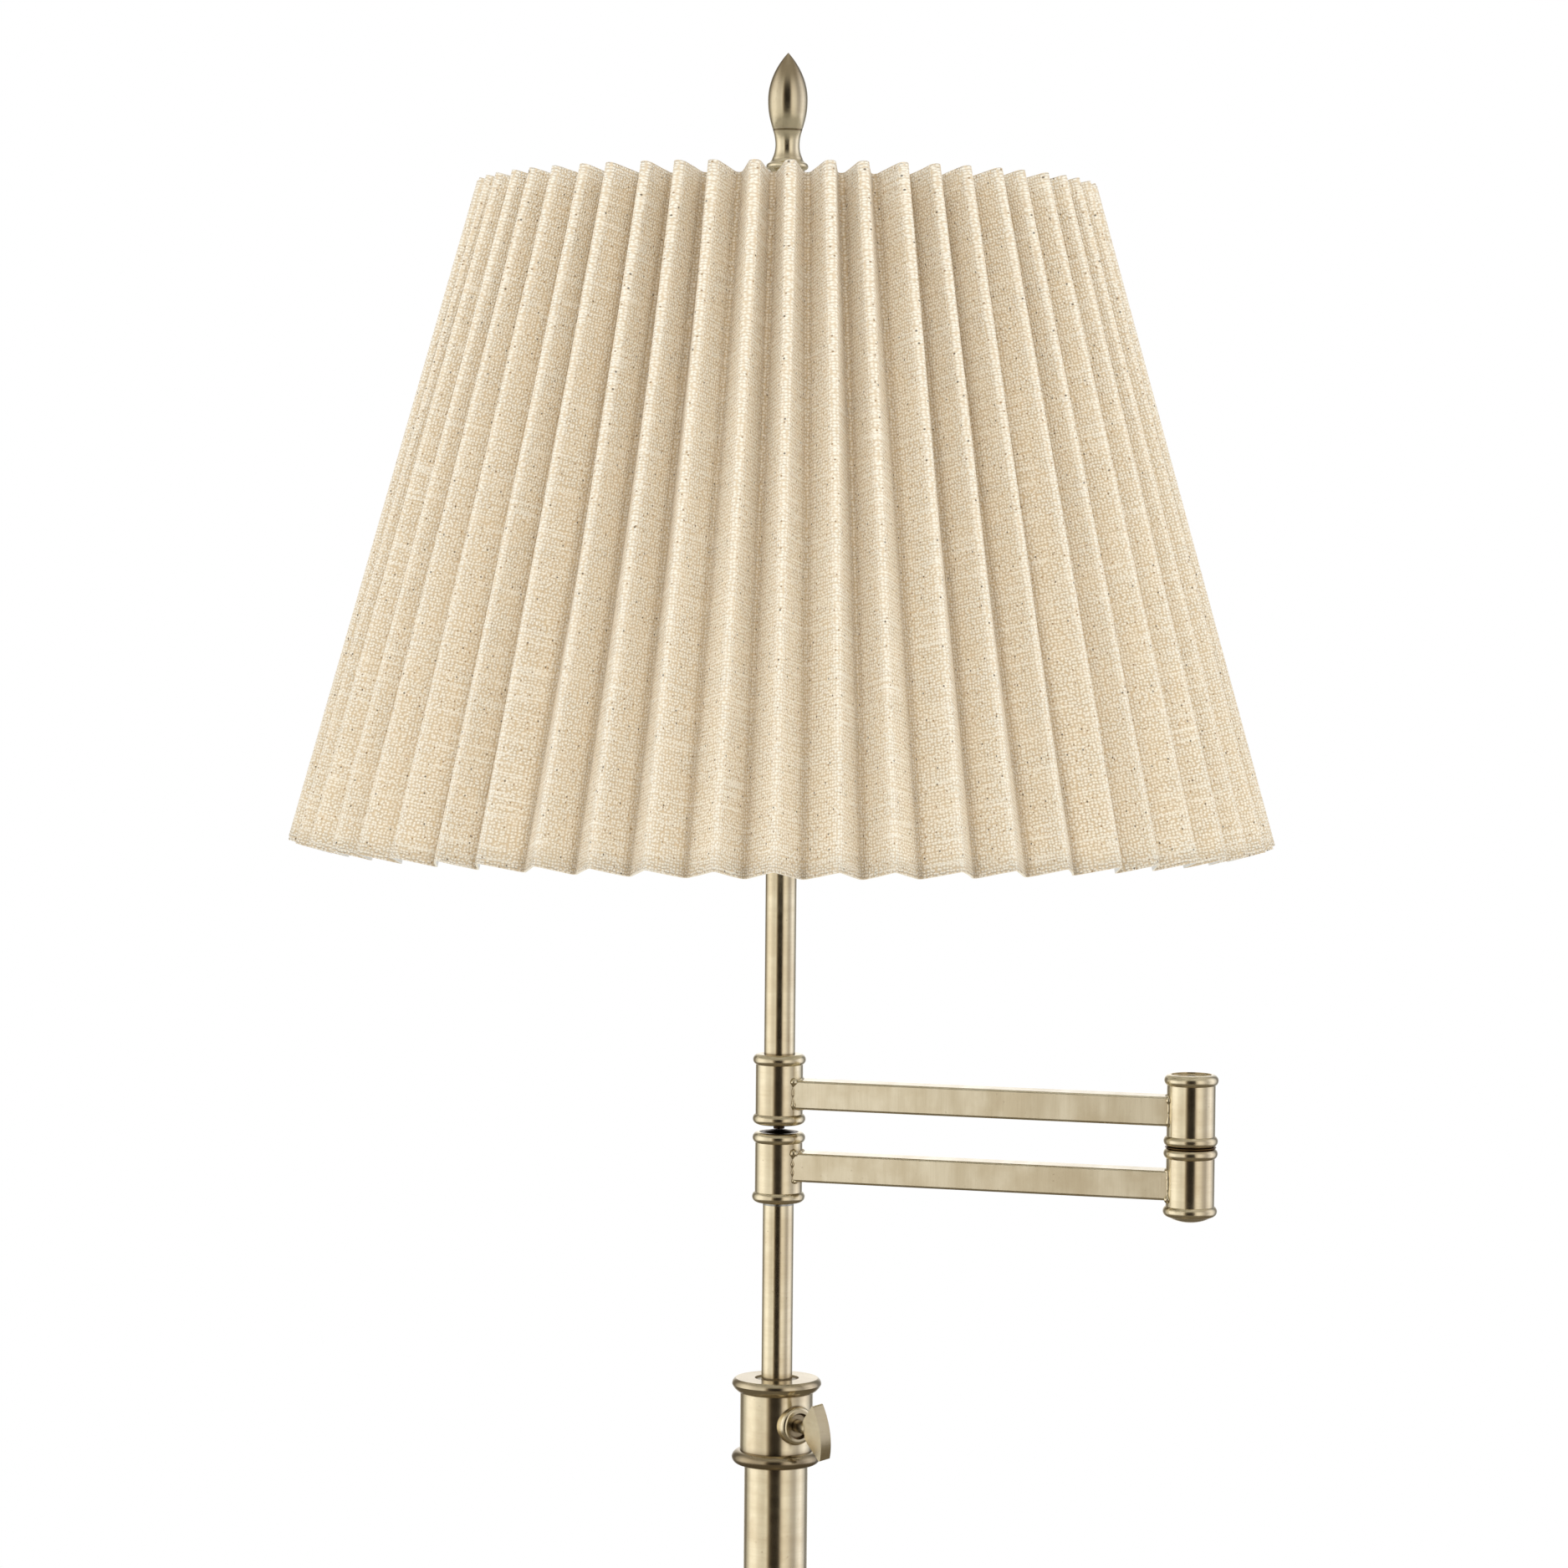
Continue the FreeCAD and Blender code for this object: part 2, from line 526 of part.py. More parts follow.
def base_fittings():
    pad = ring_tube("base_felt_pad", RECESS_RADIUS, D["base_radius"] - D["pad_inset"],
                    D["pad_thickness"])
    keep(pad, "base_felt_pad")

    web = D["pad_thickness"] + D["recess_depth"]
    washer = ring_tube("base_washer", ROD_HOLE, D["washer_radius"], D["washer_thickness"])
    place(washer, z=web - D["washer_thickness"])
    keep(washer, "base_washer")

    nut = new_body("base_nut")
    outline = new_sketch(nut, "base_nut_outline", "XY_Plane")
    draw_polygon(outline, NUT_SIDES, NUT_FLATS)
    draw_circle(outline, 0.0, 0.0, D["rod_radius"])
    padded(nut, outline, D["nut_height"])
    nut_start = web - D["washer_thickness"] - D["nut_height"]
    place(nut, z=nut_start)
    keep(nut, "base_nut")

    rod_start = nut_start - D["rod_tail"]
    rod = ring_tube("base_rod", D["rod_bore"], D["rod_radius"],
                    POLE_START + D["plug_height"] + D["rod_tail"] - rod_start)
    place(rod, z=rod_start)
    keep(rod, "base_rod")


def cord_bushing():
    """Grommet in the back of the cover; its axis points along +Y."""
    rim = D["base_radius"]
    start = rim - D["bushing_length"] + D["bushing_lip"]
    end = rim + D["bushing_lip"]
    shank = spun_along_y("bushing_shank", [
        (D["bushing_bore"], start),
        (BUSHING_RADIUS, start),
        (BUSHING_RADIUS, end),
        (D["bushing_bore"], end),
    ])
    lip = spun_along_y("bushing_lip", [
        (D["bushing_bore"], rim - D["bushing_lip"]),
        (BUSHING_LIP_RADIUS, rim - D["bushing_lip"]),
        (BUSHING_LIP_RADIUS, rim),
        (BUSHING_LIP_RADIUS - D["bushing_lip_taper"], end),
        (D["bushing_bore"], end),
    ])
    cover_round = doc.addObject("Part::Cylinder", "cover_round")
    bind(cover_round, "Radius", rim)
    bind(cover_round, "Height", COVER_TOP)
    whole = doc.addObject("Part::Fuse", "bushing_whole")
    whole.Base = cut_from("bushing_lip_fit", lip, cover_round)
    whole.Tool = shank
    whole.Refine = True
    return keep(whole, "cord_bushing")


def spun_along_y(name, outline):
    """A solid turned about a level line along Y, from an outline of (radius, y)."""
    body = new_body(name)
    sketch = new_sketch(body, name + "_outline", "XY_Plane")
    draw(sketch, outline)
    spin(body, name, sketch, "V_Axis")
    place(body, z=BUSHING_AXIS)
    return body


# ---------------------------------------------------------------- pole
def pole_foot():
    """Turned foot ring that carries the pole, and the plug that the rod screws into."""
    pole = D["pole_radius"]
    flange = FOOT_RADIUS
    rounding = D["foot_flange_rounding"]
    cove = D["foot_cove"]
    bead = D["collar_bead"]
    height = D["foot_height"]
    low = D["foot_flange_height"]
    body = turned("pole_foot_collar", [
        (ROD_HOLE, 0.0),
        (flange, 0.0),
        (flange, low - rounding),
        (flange - rounding, low, rounding),
        (COLLAR_RADIUS + cove, low),
        (COLLAR_RADIUS, low + cove, -cove),
        (COLLAR_RADIUS, height - bead * 2),
        (COLLAR_RADIUS + D["foot_bead_proud"], height - bead, bead * 2),
        (COLLAR_RADIUS, height, bead * 2),
        (pole, height),
        (pole, D["foot_web"]),
        (ROD_HOLE, D["foot_web"]),
    ])
    place(body, z=COVER_TOP)
    keep(body, "pole_foot_collar")

    plug = ring_tube("pole_foot_plug", D["rod_radius"], POLE_BORE, D["plug_height"])
    place(plug, z=POLE_START)
    keep(plug, "pole_foot_plug")


def poles():
    lower = ring_tube("pole_lower", POLE_BORE, D["pole_radius"], D["lower_pole_length"])
    place(lower, z=POLE_START)
    keep(lower, "pole_lower")

    height = D["coupling_height"]
    bulge = D["pole_radius"] + D["coupling_bulge"]
    spigot = D["spigot_length"]
    coupling = turned("pole_coupling", [
        (D["rod_radius"], -spigot),
        (POLE_BORE, -spigot),
        (POLE_BORE, 0.0),
        (D["pole_radius"], 0.0),
        (bulge, height / 2, height),
        (D["pole_radius"], height, height),
        (POLE_BORE, height),
        (POLE_BORE, height + spigot),
        (D["rod_radius"], height + spigot),
    ])
    place(coupling, z=COUPLING_START)
    keep(coupling, "pole_coupling")

    upper = ring_tube("pole_upper", POLE_BORE, D["pole_radius"], D["upper_pole_length"])
    place(upper, z=UPPER_POLE_START)
    keep(upper, "pole_upper")


# ---------------------------------------------------------------- collar and thumb key
KEY_TURN = D["key_azimuth"] - 90.0


def pierce_for_key(body, name, level, radius):
    """A screw hole from the body's axis out along its own +X."""
    hole = new_sketch(body, name + "_screw_hole", "YZ_Plane")
    draw_circle(hole, 0.0, level, radius)
    pocketed(body, hole, FLANGE_RADIUS, reverse=True)


def adjuster_collar():
    radius = COLLAR_RADIUS
    flange = FLANGE_RADIUS
    bead = D["collar_bead"]
    height = D["collar_height"]
    thick = D["flange_height"]
    widest = thick * 0.42
    bead_centre = flange - bead - D["bead_inset"]
    body = turned("adjuster_collar", [
        (D["pole_radius"], 0.0),
        (bead_centre, 0.0),
        (bead_centre + bead, bead, bead),
        (radius, bead * 2 - D["bead_meet"], bead + D["bead_meet"]),
        (radius, height - thick),
        (flange, height - widest, thick),
        (flange - D["flange_edge"], height, widest * 1.1),
        (BUSH_RADIUS, height),
        (BUSH_RADIUS, D["collar_seat"]),
        (D["pole_radius"], D["collar_seat"]),
    ])
    pierce_for_key(body, "collar", D["key_height"], SHANK_HOLE)
    place(body, z=COLLAR_START, turn=KEY_TURN)
    keep(body, "adjuster_collar")


def guide_bush():
    """Plastic liner that the post slides in, pierced for the key's screw."""
    height = D["collar_height"] - D["collar_seat"] - D["bush_recess"]
    body = ring_tube("guide_bush", D["post_radius"] + D["running_gap"], BUSH_RADIUS, height)
    pierce_for_key(body, "bush", KEY_AXIS - POLE_END, D["shank_radius"] + D["seat_gap"])
    place(body, z=POLE_END, turn=KEY_TURN)
    keep(body, "guide_bush")


def key_boss():
    """Round boss with a hollow mouth, cut to sit on the collar's side."""
    reach = BOSS_REACH
    root_end = reach - D["boss_depth"]
    rounding = D["boss_rounding"]
    floor = reach - D["boss_recess_depth"]
    body = new_body("key_boss")
    outline = new_sketch(body, "key_boss_outline", "XZ_Plane")
    draw(outline, [
        (root_end, SHANK_HOLE),
        (root_end, BOSS_RADIUS),
        (reach - rounding, BOSS_RADIUS),
        (reach, BOSS_RADIUS - rounding, -rounding),
        (reach, BOSS_RECESS + D["boss_mouth"]),
        (floor, BOSS_RECESS),
        (floor, SHANK_HOLE),
    ])
    spin(body, "key_boss", outline, "H_Axis")
    place(body, z=KEY_AXIS, turn=KEY_TURN)
    collar_round = doc.addObject("Part::Cylinder", "collar_round")
    bind(collar_round, "Radius", COLLAR_RADIUS)
    bind(collar_round, "Height", D["collar_height"])
    bind(collar_round, "Placement.Base.z", COLLAR_START)
    return keep(cut_from("key_boss", body, collar_round), "key_boss")


def thumb_key():
    """Screw and fan-shaped wing, drawn with the screw along +X and turned to its place."""
    tip = D["post_radius"] + D["shank_tip_gap"]
    chamfer = D["shank_chamfer"]
    radius = D["shank_radius"]
    shank = new_body("key_shank")
    outline = new_sketch(shank, "key_shank_outline", "XZ_Plane")
    draw(outline, [
        (tip, 0.0),
        (tip, radius - chamfer),
        (tip + chamfer, radius),
        (WING_START, radius),
        (WING_START, 0.0),
    ])
    spin(shank, "key_shank", outline, "H_Axis")
    place(shank, z=KEY_AXIS, turn=KEY_TURN)
    keep(shank, "key_shank")

    wing = new_body("key_wing")
    fan = new_sketch(wing, "key_wing_outline", "XZ_Plane", tilt=D["wing_tilt"])
    corner = WING_START + D["wing_corner_length"]
    inner = corner - D["wing_corner_half"]
    outer = corner + D["wing_corner_half"]
    half = D["wing_half_height"]
    shoulder = D["wing_half_shoulder"]
    root_half = D["wing_half_root"]
    corner_rounding = D["wing_corner_rounding"]
    rim_rounding = D["wing_rim_rounding"]
    draw(fan, [
        (WING_START, -root_half),
        (WING_START + D["wing_shoulder_run"], -shoulder),
        (inner, -half),
        (outer, -half, corner_rounding),
        (WING_START + D["wing_length"], 0.0, rim_rounding),
        (outer, half, rim_rounding),
        (inner, half, corner_rounding),
        (WING_START + D["wing_shoulder_run"], shoulder),
        (WING_START, root_half),
    ])
    padded(wing, fan, D["wing_thickness"], both_ways=True)
    place(wing, z=KEY_AXIS, turn=KEY_TURN)
    keep(wing, "key_wing")


# ---------------------------------------------------------------- sliding post
def sliding_post():
    post = ring_tube("inner_post", POST_BORE, D["post_radius"], POST_END - POST_START)
    place(post, z=POST_START)
    keep(post, "inner_post")

    guide = POLE_BORE - D["running_gap"]
    chamfer = D["stop_chamfer"]
    stop = turned("post_stop_ring", [
        (D["post_radius"], 0.0),
        (guide - chamfer, 0.0),
        (guide, chamfer),
        (guide, D["stop_height"] - chamfer),
        (guide - chamfer, D["stop_height"]),
        (D["post_radius"], D["stop_height"]),
    ])
    place(stop, z=POST_START)
    keep(stop, "post_stop_ring")

    washer = ring_tube("post_thrust_washer", D["rod_radius"], D["post_radius"],
                       D["thrust_washer"])
    place(washer, z=POST_END)
    keep(washer, "post_thrust_washer")

    thread_top = (D["thrust_washer"] + D["seat_gap"] * 2 + D["hub_web"] + D["lock_nut_height"]
                  + D["stud_tip"])
    stud = turned("post_pivot_stud", [
        (D["rod_bore"], -D["stud_plug"]),
        (POST_BORE, -D["stud_plug"]),
        (POST_BORE, 0.0),
        (D["rod_radius"], 0.0),
        (D["rod_radius"], thread_top),
        (D["rod_bore"], thread_top),
    ])
    place(stud, z=POST_END)
    keep(stud, "post_pivot_stud")

    nut = lock_nut("lower_hub_lock_nut")
    place(nut, z=LOWER_HUB_START + D["hub_web"] + D["seat_gap"])
    keep(nut, "lower_hub_lock_nut")


def lock_nut(name):
    body = new_body(name)
    outline = new_sketch(body, name + "_outline", "XY_Plane")
    draw_polygon(outline, NUT_SIDES, LOCK_FLATS)
    draw_circle(outline, 0.0, 0.0, D["rod_radius"])
    padded(body, outline, D["lock_nut_height"])
    return body


# ---------------------------------------------------------------- arms
def beaded_sleeve(name, height, web_below, web_bore):
    """A short tube with a round bead at each end and a bored web across one end."""
    bead = D["hub_bead"]
    edge = HUB_RADIUS + D["bead_proud"]
    centre = edge - bead
    neck = bead - D["bead_proud"]
    meet = root(bead * bead - neck * neck)
    hollow = HUB_HOLLOW
    outer = [
        (centre, 0.0),
        (edge, bead, bead),
        (HUB_RADIUS, bead + meet, bead),
        (HUB_RADIUS, height - bead - meet),
        (edge, height - bead, bead),
        (centre, height, bead),
    ]
    if web_below:
        web = D["hub_web"]
        inner = [(hollow, height), (hollow, web), (web_bore, web), (web_bore, 0.0)]
    else:
        web = height - D["hub_web"]
        inner = [(web_bore, height), (web_bore, web), (hollow, web), (hollow, 0.0)]
    return turned(name, outer + inner)


def pierce_for_cord(body, name, level, toward):
    """The wire way from the sleeve into the hollow bar, along the sleeve's own X axis."""
    hole = new_sketch(body, name + "_wire_hole", "YZ_Plane")
    draw_circle(hole, 0.0, level, D["wire_hole_radius"])
    pocketed(body, hole, HUB_RADIUS * 2, reverse=toward > 0)


def arm_sleeves():
    lower_hub = beaded_sleeve("lower_arm_hub", D["hub_height"], True, STUD_HOLE)
    pierce_for_cord(lower_hub, "lower_arm_hub", D["lower_bar_height"], 1)
    place(lower_hub, z=LOWER_HUB_START, turn=ARM_TURN)
    keep(lower_hub, "lower_arm_hub")

    lower_sleeve = beaded_sleeve("lower_arm_sleeve", D["lower_sleeve_height"], False,
                                 D["rod_radius"])
    pierce_for_cord(lower_sleeve, "lower_arm_sleeve", LOWER_BAR_LEVEL - LOWER_SLEEVE_START, -1)
    place(lower_sleeve, PIVOT_X, PIVOT_Y, LOWER_SLEEVE_START, ARM_TURN)
    keep(lower_sleeve, "lower_arm_sleeve")

    upper_sleeve = beaded_sleeve("upper_arm_sleeve", D["hub_height"], True, STUD_HOLE)
    pierce_for_cord(upper_sleeve, "upper_arm_sleeve", UPPER_BAR_LEVEL - UPPER_SLEEVE_START, -1)
    place(upper_sleeve, PIVOT_X, PIVOT_Y, UPPER_SLEEVE_START, ARM_TURN)
    keep(upper_sleeve, "upper_arm_sleeve")

    upper_hub = beaded_sleeve("upper_arm_hub", D["hub_height"], False, D["post_radius"])
    pierce_for_cord(upper_hub, "upper_arm_hub", D["upper_bar_height"], 1)
    place(upper_hub, z=UPPER_HUB_START, turn=ARM_TURN)
    keep(upper_hub, "upper_arm_hub")


def arm_bars():
    for name, level in (("lower_arm_bar", LOWER_BAR_LEVEL), ("upper_arm_bar", UPPER_BAR_LEVEL)):
        half = D["bar_size"] / 2
        hollow = half - D["bar_wall"]
        body = new_body(name)
        section = new_sketch(body, name + "_section", "YZ_Plane")
        draw(section, rounded_square(half, D["bar_rounding"]))
        draw(section, rectangle(-hollow, -hollow, hollow, hollow))
        padded(body, section, D["arm_length"])
        for end, centre in (("near", Size(0)), ("far", D["arm_length"])):
            cope = new_sketch(body, f"{name}_{end}_cope", "XY_Plane")
            draw_circle(cope, centre, 0.0, HUB_RADIUS)
            pocketed(body, cope, D["bar_size"] * 2, both_ways=True)
        place(body, z=level, turn=ARM_TURN)
        keep(body, name)


def rounded_square(half, rounding):
    flat = half - rounding
    return [
        (-flat, -half, rounding),
        (flat, -half),
        (half, -flat, rounding),
        (half, flat),
        (flat, half, rounding),
        (-flat, half),
        (-half, flat, rounding),
        (-half, -flat),
    ]


def arm_caps():
    hollow = HUB_HOLLOW
    thick = D["cap_thickness"]
    dome = D["cap_dome"]
    dome_radius = hollow - D["cap_rim"]

    cap = turned("lower_hub_cap", [
        (0.0, -thick),
        (hollow, -thick),
        (hollow, 0.0),
        (dome_radius, 0.0),
        (0.0, dome, (dome_radius * 0.7, dome * 0.75), (dome_radius * 0.35, dome)),
    ])
    place(cap, z=LOWER_HUB_END)
    keep(cap, "lower_hub_cap")

    nub = D["nub_radius"]
    nub_length = D["hub_gap"] - dome - D["seat_gap"]
    under = turned("upper_hub_under_cap", [
        (0.0, -nub_length),
        (nub, -nub_length),
        (nub, -D["nub_fillet"]),
        (nub + D["nub_fillet"], 0.0),
        (hollow, 0.0),
        (hollow, thick),
        (0.0, thick),
    ])
    place(under, z=UPPER_HUB_START)
    keep(under, "upper_hub_under_cap")

    rim = HUB_RADIUS + D["bead_proud"] - D["hub_bead"]
    drop = D["bottom_dome"]
    bottom = turned("pivot_bottom_cap", [
        (0.0, -drop),
        (rim, 0.0, (rim * 0.4, -drop), (rim * 0.8, -drop * 0.6)),
        (hollow, 0.0),
        (hollow, D["bottom_cap_plug"]),
        (0.0, D["bottom_cap_plug"]),
    ])
    place(bottom, PIVOT_X, PIVOT_Y, LOWER_SLEEVE_START)
    keep(bottom, "pivot_bottom_cap")

    thick = D["top_plug_thickness"]
    dish = thick - D["top_plug_dish"]
    top = turned("pivot_top_plug", [
        (0.0, 0.0),
        (hollow, 0.0),
        (hollow, thick),
        (hollow - D["top_plug_rim"], dish),
        (0.0, dish),
    ])
    level = UPPER_SLEEVE_START + D["hub_height"] - D["top_plug_recess"] - thick
    place(top, PIVOT_X, PIVOT_Y, level)
    keep(top, "pivot_top_plug")


def pivot_stud():
    top = D["pivot_gap"] + D["hub_web"] + D["seat_gap"] + D["lock_nut_height"] + D["stud_tip"]
    head_start = -D["hub_web"] - D["pivot_head_height"]
    stud = turned("pivot_stud", [
        (D["rod_bore"], head_start),
        (HEAD_RADIUS, head_start),
        (HEAD_RADIUS, -D["hub_web"]),
        (D["rod_radius"], -D["hub_web"]),
        (D["rod_radius"], top),
        (D["rod_bore"], top),
    ])
    place(stud, PIVOT_X, PIVOT_Y, LOWER_SLEEVE_END)
    keep(stud, "pivot_stud")

    nut = lock_nut("pivot_lock_nut")
    place(nut, PIVOT_X, PIVOT_Y, UPPER_SLEEVE_START + D["hub_web"] + D["seat_gap"])
    keep(nut, "pivot_lock_nut")


# ---------------------------------------------------------------- riser, harp and socket
def riser():
    tube = ring_tube("riser", POST_BORE, D["post_radius"], D["riser_length"])
    place(tube, z=RISER_START)
    keep(tube, "riser")

    reach = D["check_ring_height"] + D["saddle_thickness"] + D["nipple_over_saddle"]
    nipple = turned("riser_nipple", [
        (D["rod_bore"], -D["stud_plug"]),
        (POST_BORE, -D["stud_plug"]),
        (POST_BORE, 0.0),
        (D["rod_radius"], 0.0),
        (D["rod_radius"], reach),
        (D["rod_bore"], reach),
    ])
    place(nipple, z=RISER_END)
    keep(nipple, "riser_nipple")

    ring = D["check_ring_radius"]
    height = D["check_ring_height"]
    edge = D["check_ring_edge"]
    check = turned("check_ring", [
        (D["rod_radius"], 0.0),
        (ring - D["check_ring_cove"], 0.0),
        (ring, D["check_ring_lip"], D["check_ring_cove_rounding"]),
        (ring, height - edge),
        (ring - edge, height, edge),
        (D["rod_radius"], height),
    ])
    place(check, z=RISER_END)
    keep(check, "check_ring")


def harp_saddle():
    """Bent strap under the socket: a flat middle, two sloping arms and two narrow tabs."""
    thick = D["saddle_thickness"]
    bend = SOCKET_RADIUS + D["saddle_bend_gap"]
    inner_bend = bend - D["saddle_bend_taper"]
    overlap = D["saddle_tab_overlap"]
    rise = D["saddle_rise"] + thick
    body = new_body("harp_saddle")
    strap = new_sketch(body, "harp_saddle_strap")
    draw(strap, [
        (-bend, 0.0),
        (bend, 0.0),
        (TAB_OUTER, rise - overlap * 2),
        (TAB_OUTER, rise),
        (TAB_INNER, rise),
        (inner_bend, thick),
        (-inner_bend, thick),
        (-TAB_INNER, rise),
        (-TAB_OUTER, rise),
        (-TAB_OUTER, rise - overlap * 2),
    ])
    padded(body, strap, D["saddle_half_width"] * 2, both_ways=True)
    tabs = new_sketch(body, "harp_saddle_tabs")
    tab_end = rise + D["saddle_tab_height"]
    draw(tabs, rectangle(TAB_INNER, rise - overlap, TAB_OUTER, tab_end))
    draw(tabs, rectangle(-TAB_OUTER, rise - overlap, -TAB_INNER, tab_end))
    padded(body, tabs, D["saddle_tab_half_width"] * 2, both_ways=True)
    hole = new_sketch(body, "harp_saddle_hole", "XY_Plane")
    draw_circle(hole, 0.0, 0.0, D["rod_radius"])
    pocketed(body, hole, thick * 4, both_ways=True)
    place(body, z=SADDLE_START)
    return keep(body, "harp_saddle")


def harp():
    """Bent wire loop from one saddle tab over the bulb to the other."""
    foot = HARP_FOOT
    wide = foot + D["harp_bulge"]
    height = D["harp_height"]
    start = D["seat_gap"]
    right = [
        (foot, start),
        (foot, height * 0.13),
        (foot + D["harp_shoulder"], height * 0.21, -D["harp_shoulder_rounding"]),
        (wide - D["harp_flank_inset"], height * 0.38),
        (wide, height * 0.46, D["harp_flank_rounding"]),
        (wide, height * 0.60),
        (wide - D["harp_top_inset"], height * 0.72, D["harp_top_rounding"]),
        (D["harp_crown_half"], height * 0.945),
        (D["harp_crown_flat"], height - D["harp_wire"], D["harp_crown_rounding"]),
    ]
    body = new_body("harp")
    path = right + mirrored_back(right)
    swept(body, "harp", path, "XY_Plane", start, foot, Size(0), D["harp_wire"])
    place(body, z=HARP_START)
    keep(body, "harp")

    plate = D["harp_plate"]
    stud_radius = D["harp_stud_radius"]
    top = plate + D["harp_stud_length"]
    chamfer = D["harp_stud_chamfer"]
    stud = turned("harp_stud", [
        (0.0, 0.0),
        (D["harp_plate_radius"], 0.0),
        (D["harp_plate_radius"], plate),
        (stud_radius, plate),
        (stud_radius, top - chamfer),
        (stud_radius - chamfer, top),
        (0.0, top),
    ])
    place(stud, z=HARP_PLATE_START)
    keep(stud, "harp_stud")


def mirrored_back(right):
    """The left half of a path, from its top end down, its arcs turning the same way."""
    path = []
    following = None
    for point in reversed(right):
        x, y = -as_size(point[0]), point[1]
        bend = following[2:] if following is not None else ()
        path.append((x, y) + tuple(bend))
        following = point
    return path


def ferrules():
    """Small sleeves that slide down over the harp's feet and the saddle's tabs."""
    centre = (HARP_FOOT + D["harp_wire"] + TAB_INNER) / 2
    bore = D["ferrule_bore"]
    radius = bore + D["ferrule_wall"]
    edge = D["ferrule_edge"]
    height = D["ferrule_height"]
    for side, name in ((-1.0, "left_ferrule"), (1.0, "right_ferrule")):
        body = turned(name, [
            (bore, 0.0),
            (radius - edge, 0.0),
            (radius, edge, edge),
            (radius, height - edge),
            (radius - edge, height, edge),
            (bore, height),
        ])
        place(body, x=centre * side, z=HARP_START + D["seat_gap"])
        keep(body, name)


def socket():
    radius = SOCKET_RADIUS
    wall = D["socket_wall"]
    height = D["socket_cap_height"]
    dome = radius - D["rod_radius"] - D["cap_land"]
    bead = D["cap_bead_height"]
    cap = turned("socket_cap", [
        (D["rod_radius"], 0.0),
        (radius - dome, 0.0),
        (radius, dome, dome),
        (radius, height - bead * 2),
        (radius + D["cap_bead_proud"], height - bead),
        (radius, height),
        (radius - wall, height),
        (radius - wall, dome),
        (radius - dome, wall, -(dome - wall)),
        (D["rod_radius"], wall),
    ])
    place(cap, z=SADDLE_TOP)
    keep(cap, "socket_cap")

    shell_radius = radius - wall
    flared = shell_radius + D["shell_flare"]
    shell_height = D["socket_shell_height"]
    flare_start = shell_height - D["shell_flare_height"]
    plain = flare_start - D["shell_flare_run"]
    shell = turned("socket_shell", [
        (LINER_RADIUS, 0.0),
        (shell_radius, 0.0),
        (shell_radius, plain),
        (flared, flare_start),
        (flared, shell_height),
        (flared - wall, shell_height),
        (flared - wall, flare_start + D["shell_flare_wall"]),
        (LINER_RADIUS, plain + D["shell_flare_wall"]),
    ])
    pierce_for_switch(shell, "socket_shell")
    place(shell, z=SHELL_START)
    keep(shell, "socket_shell")

    core_radius = LINER_RADIUS - D["liner_wall"]
    liner = ring_tube("socket_liner", core_radius, LINER_RADIUS, plain)
    pierce_for_switch(liner, "socket_liner")
    place(liner, z=SHELL_START)
    keep(liner, "socket_liner")

    core_height = D["socket_core_height"]
    core = turned("socket_core", [
        (D["rod_radius"], 0.0),
        (core_radius - D["core_taper"], 0.0),
        (core_radius, core_height - D["core_land"]),
        (core_radius, core_height),
        (D["rod_radius"], core_height),
    ])
    place(core, z=CORE_START)
    keep(core, "socket_core")

    thread = D["lamp_thread_radius"] + D["seat_gap"]
    screw_wall = D["screw_shell_wall"]
    screw = turned("socket_screw_shell", [
        (D["rod_radius"], 0.0),
        (thread + screw_wall, 0.0),
        (thread + screw_wall, D["screw_shell_height"]),
        (thread, D["screw_shell_height"]),
        (thread, screw_wall),
        (D["rod_radius"], screw_wall),
    ])
    place(screw, z=CORE_END)
    keep(screw, "socket_screw_shell")

    contact = turned("center_contact", [
        (0.0, 0.0),
        (D["rod_radius"], 0.0),
        (D["rod_radius"], D["contact_height"] / 2),
        (D["contact_tip_radius"], D["contact_height"]),
        (0.0, D["contact_height"]),
    ])
    place(contact, z=CORE_END)
    keep(contact, "center_contact")


def pierce_for_switch(body, name):
    """The stem's hole through the front of a shell that starts where the shell does."""
    hole = new_sketch(body, name + "_switch_hole", "XZ_Plane")
    draw_circle(hole, 0.0, SWITCH_AXIS - SHELL_START, SWITCH_HOLE)
    pocketed(body, hole, SOCKET_RADIUS * 2, reverse=True)


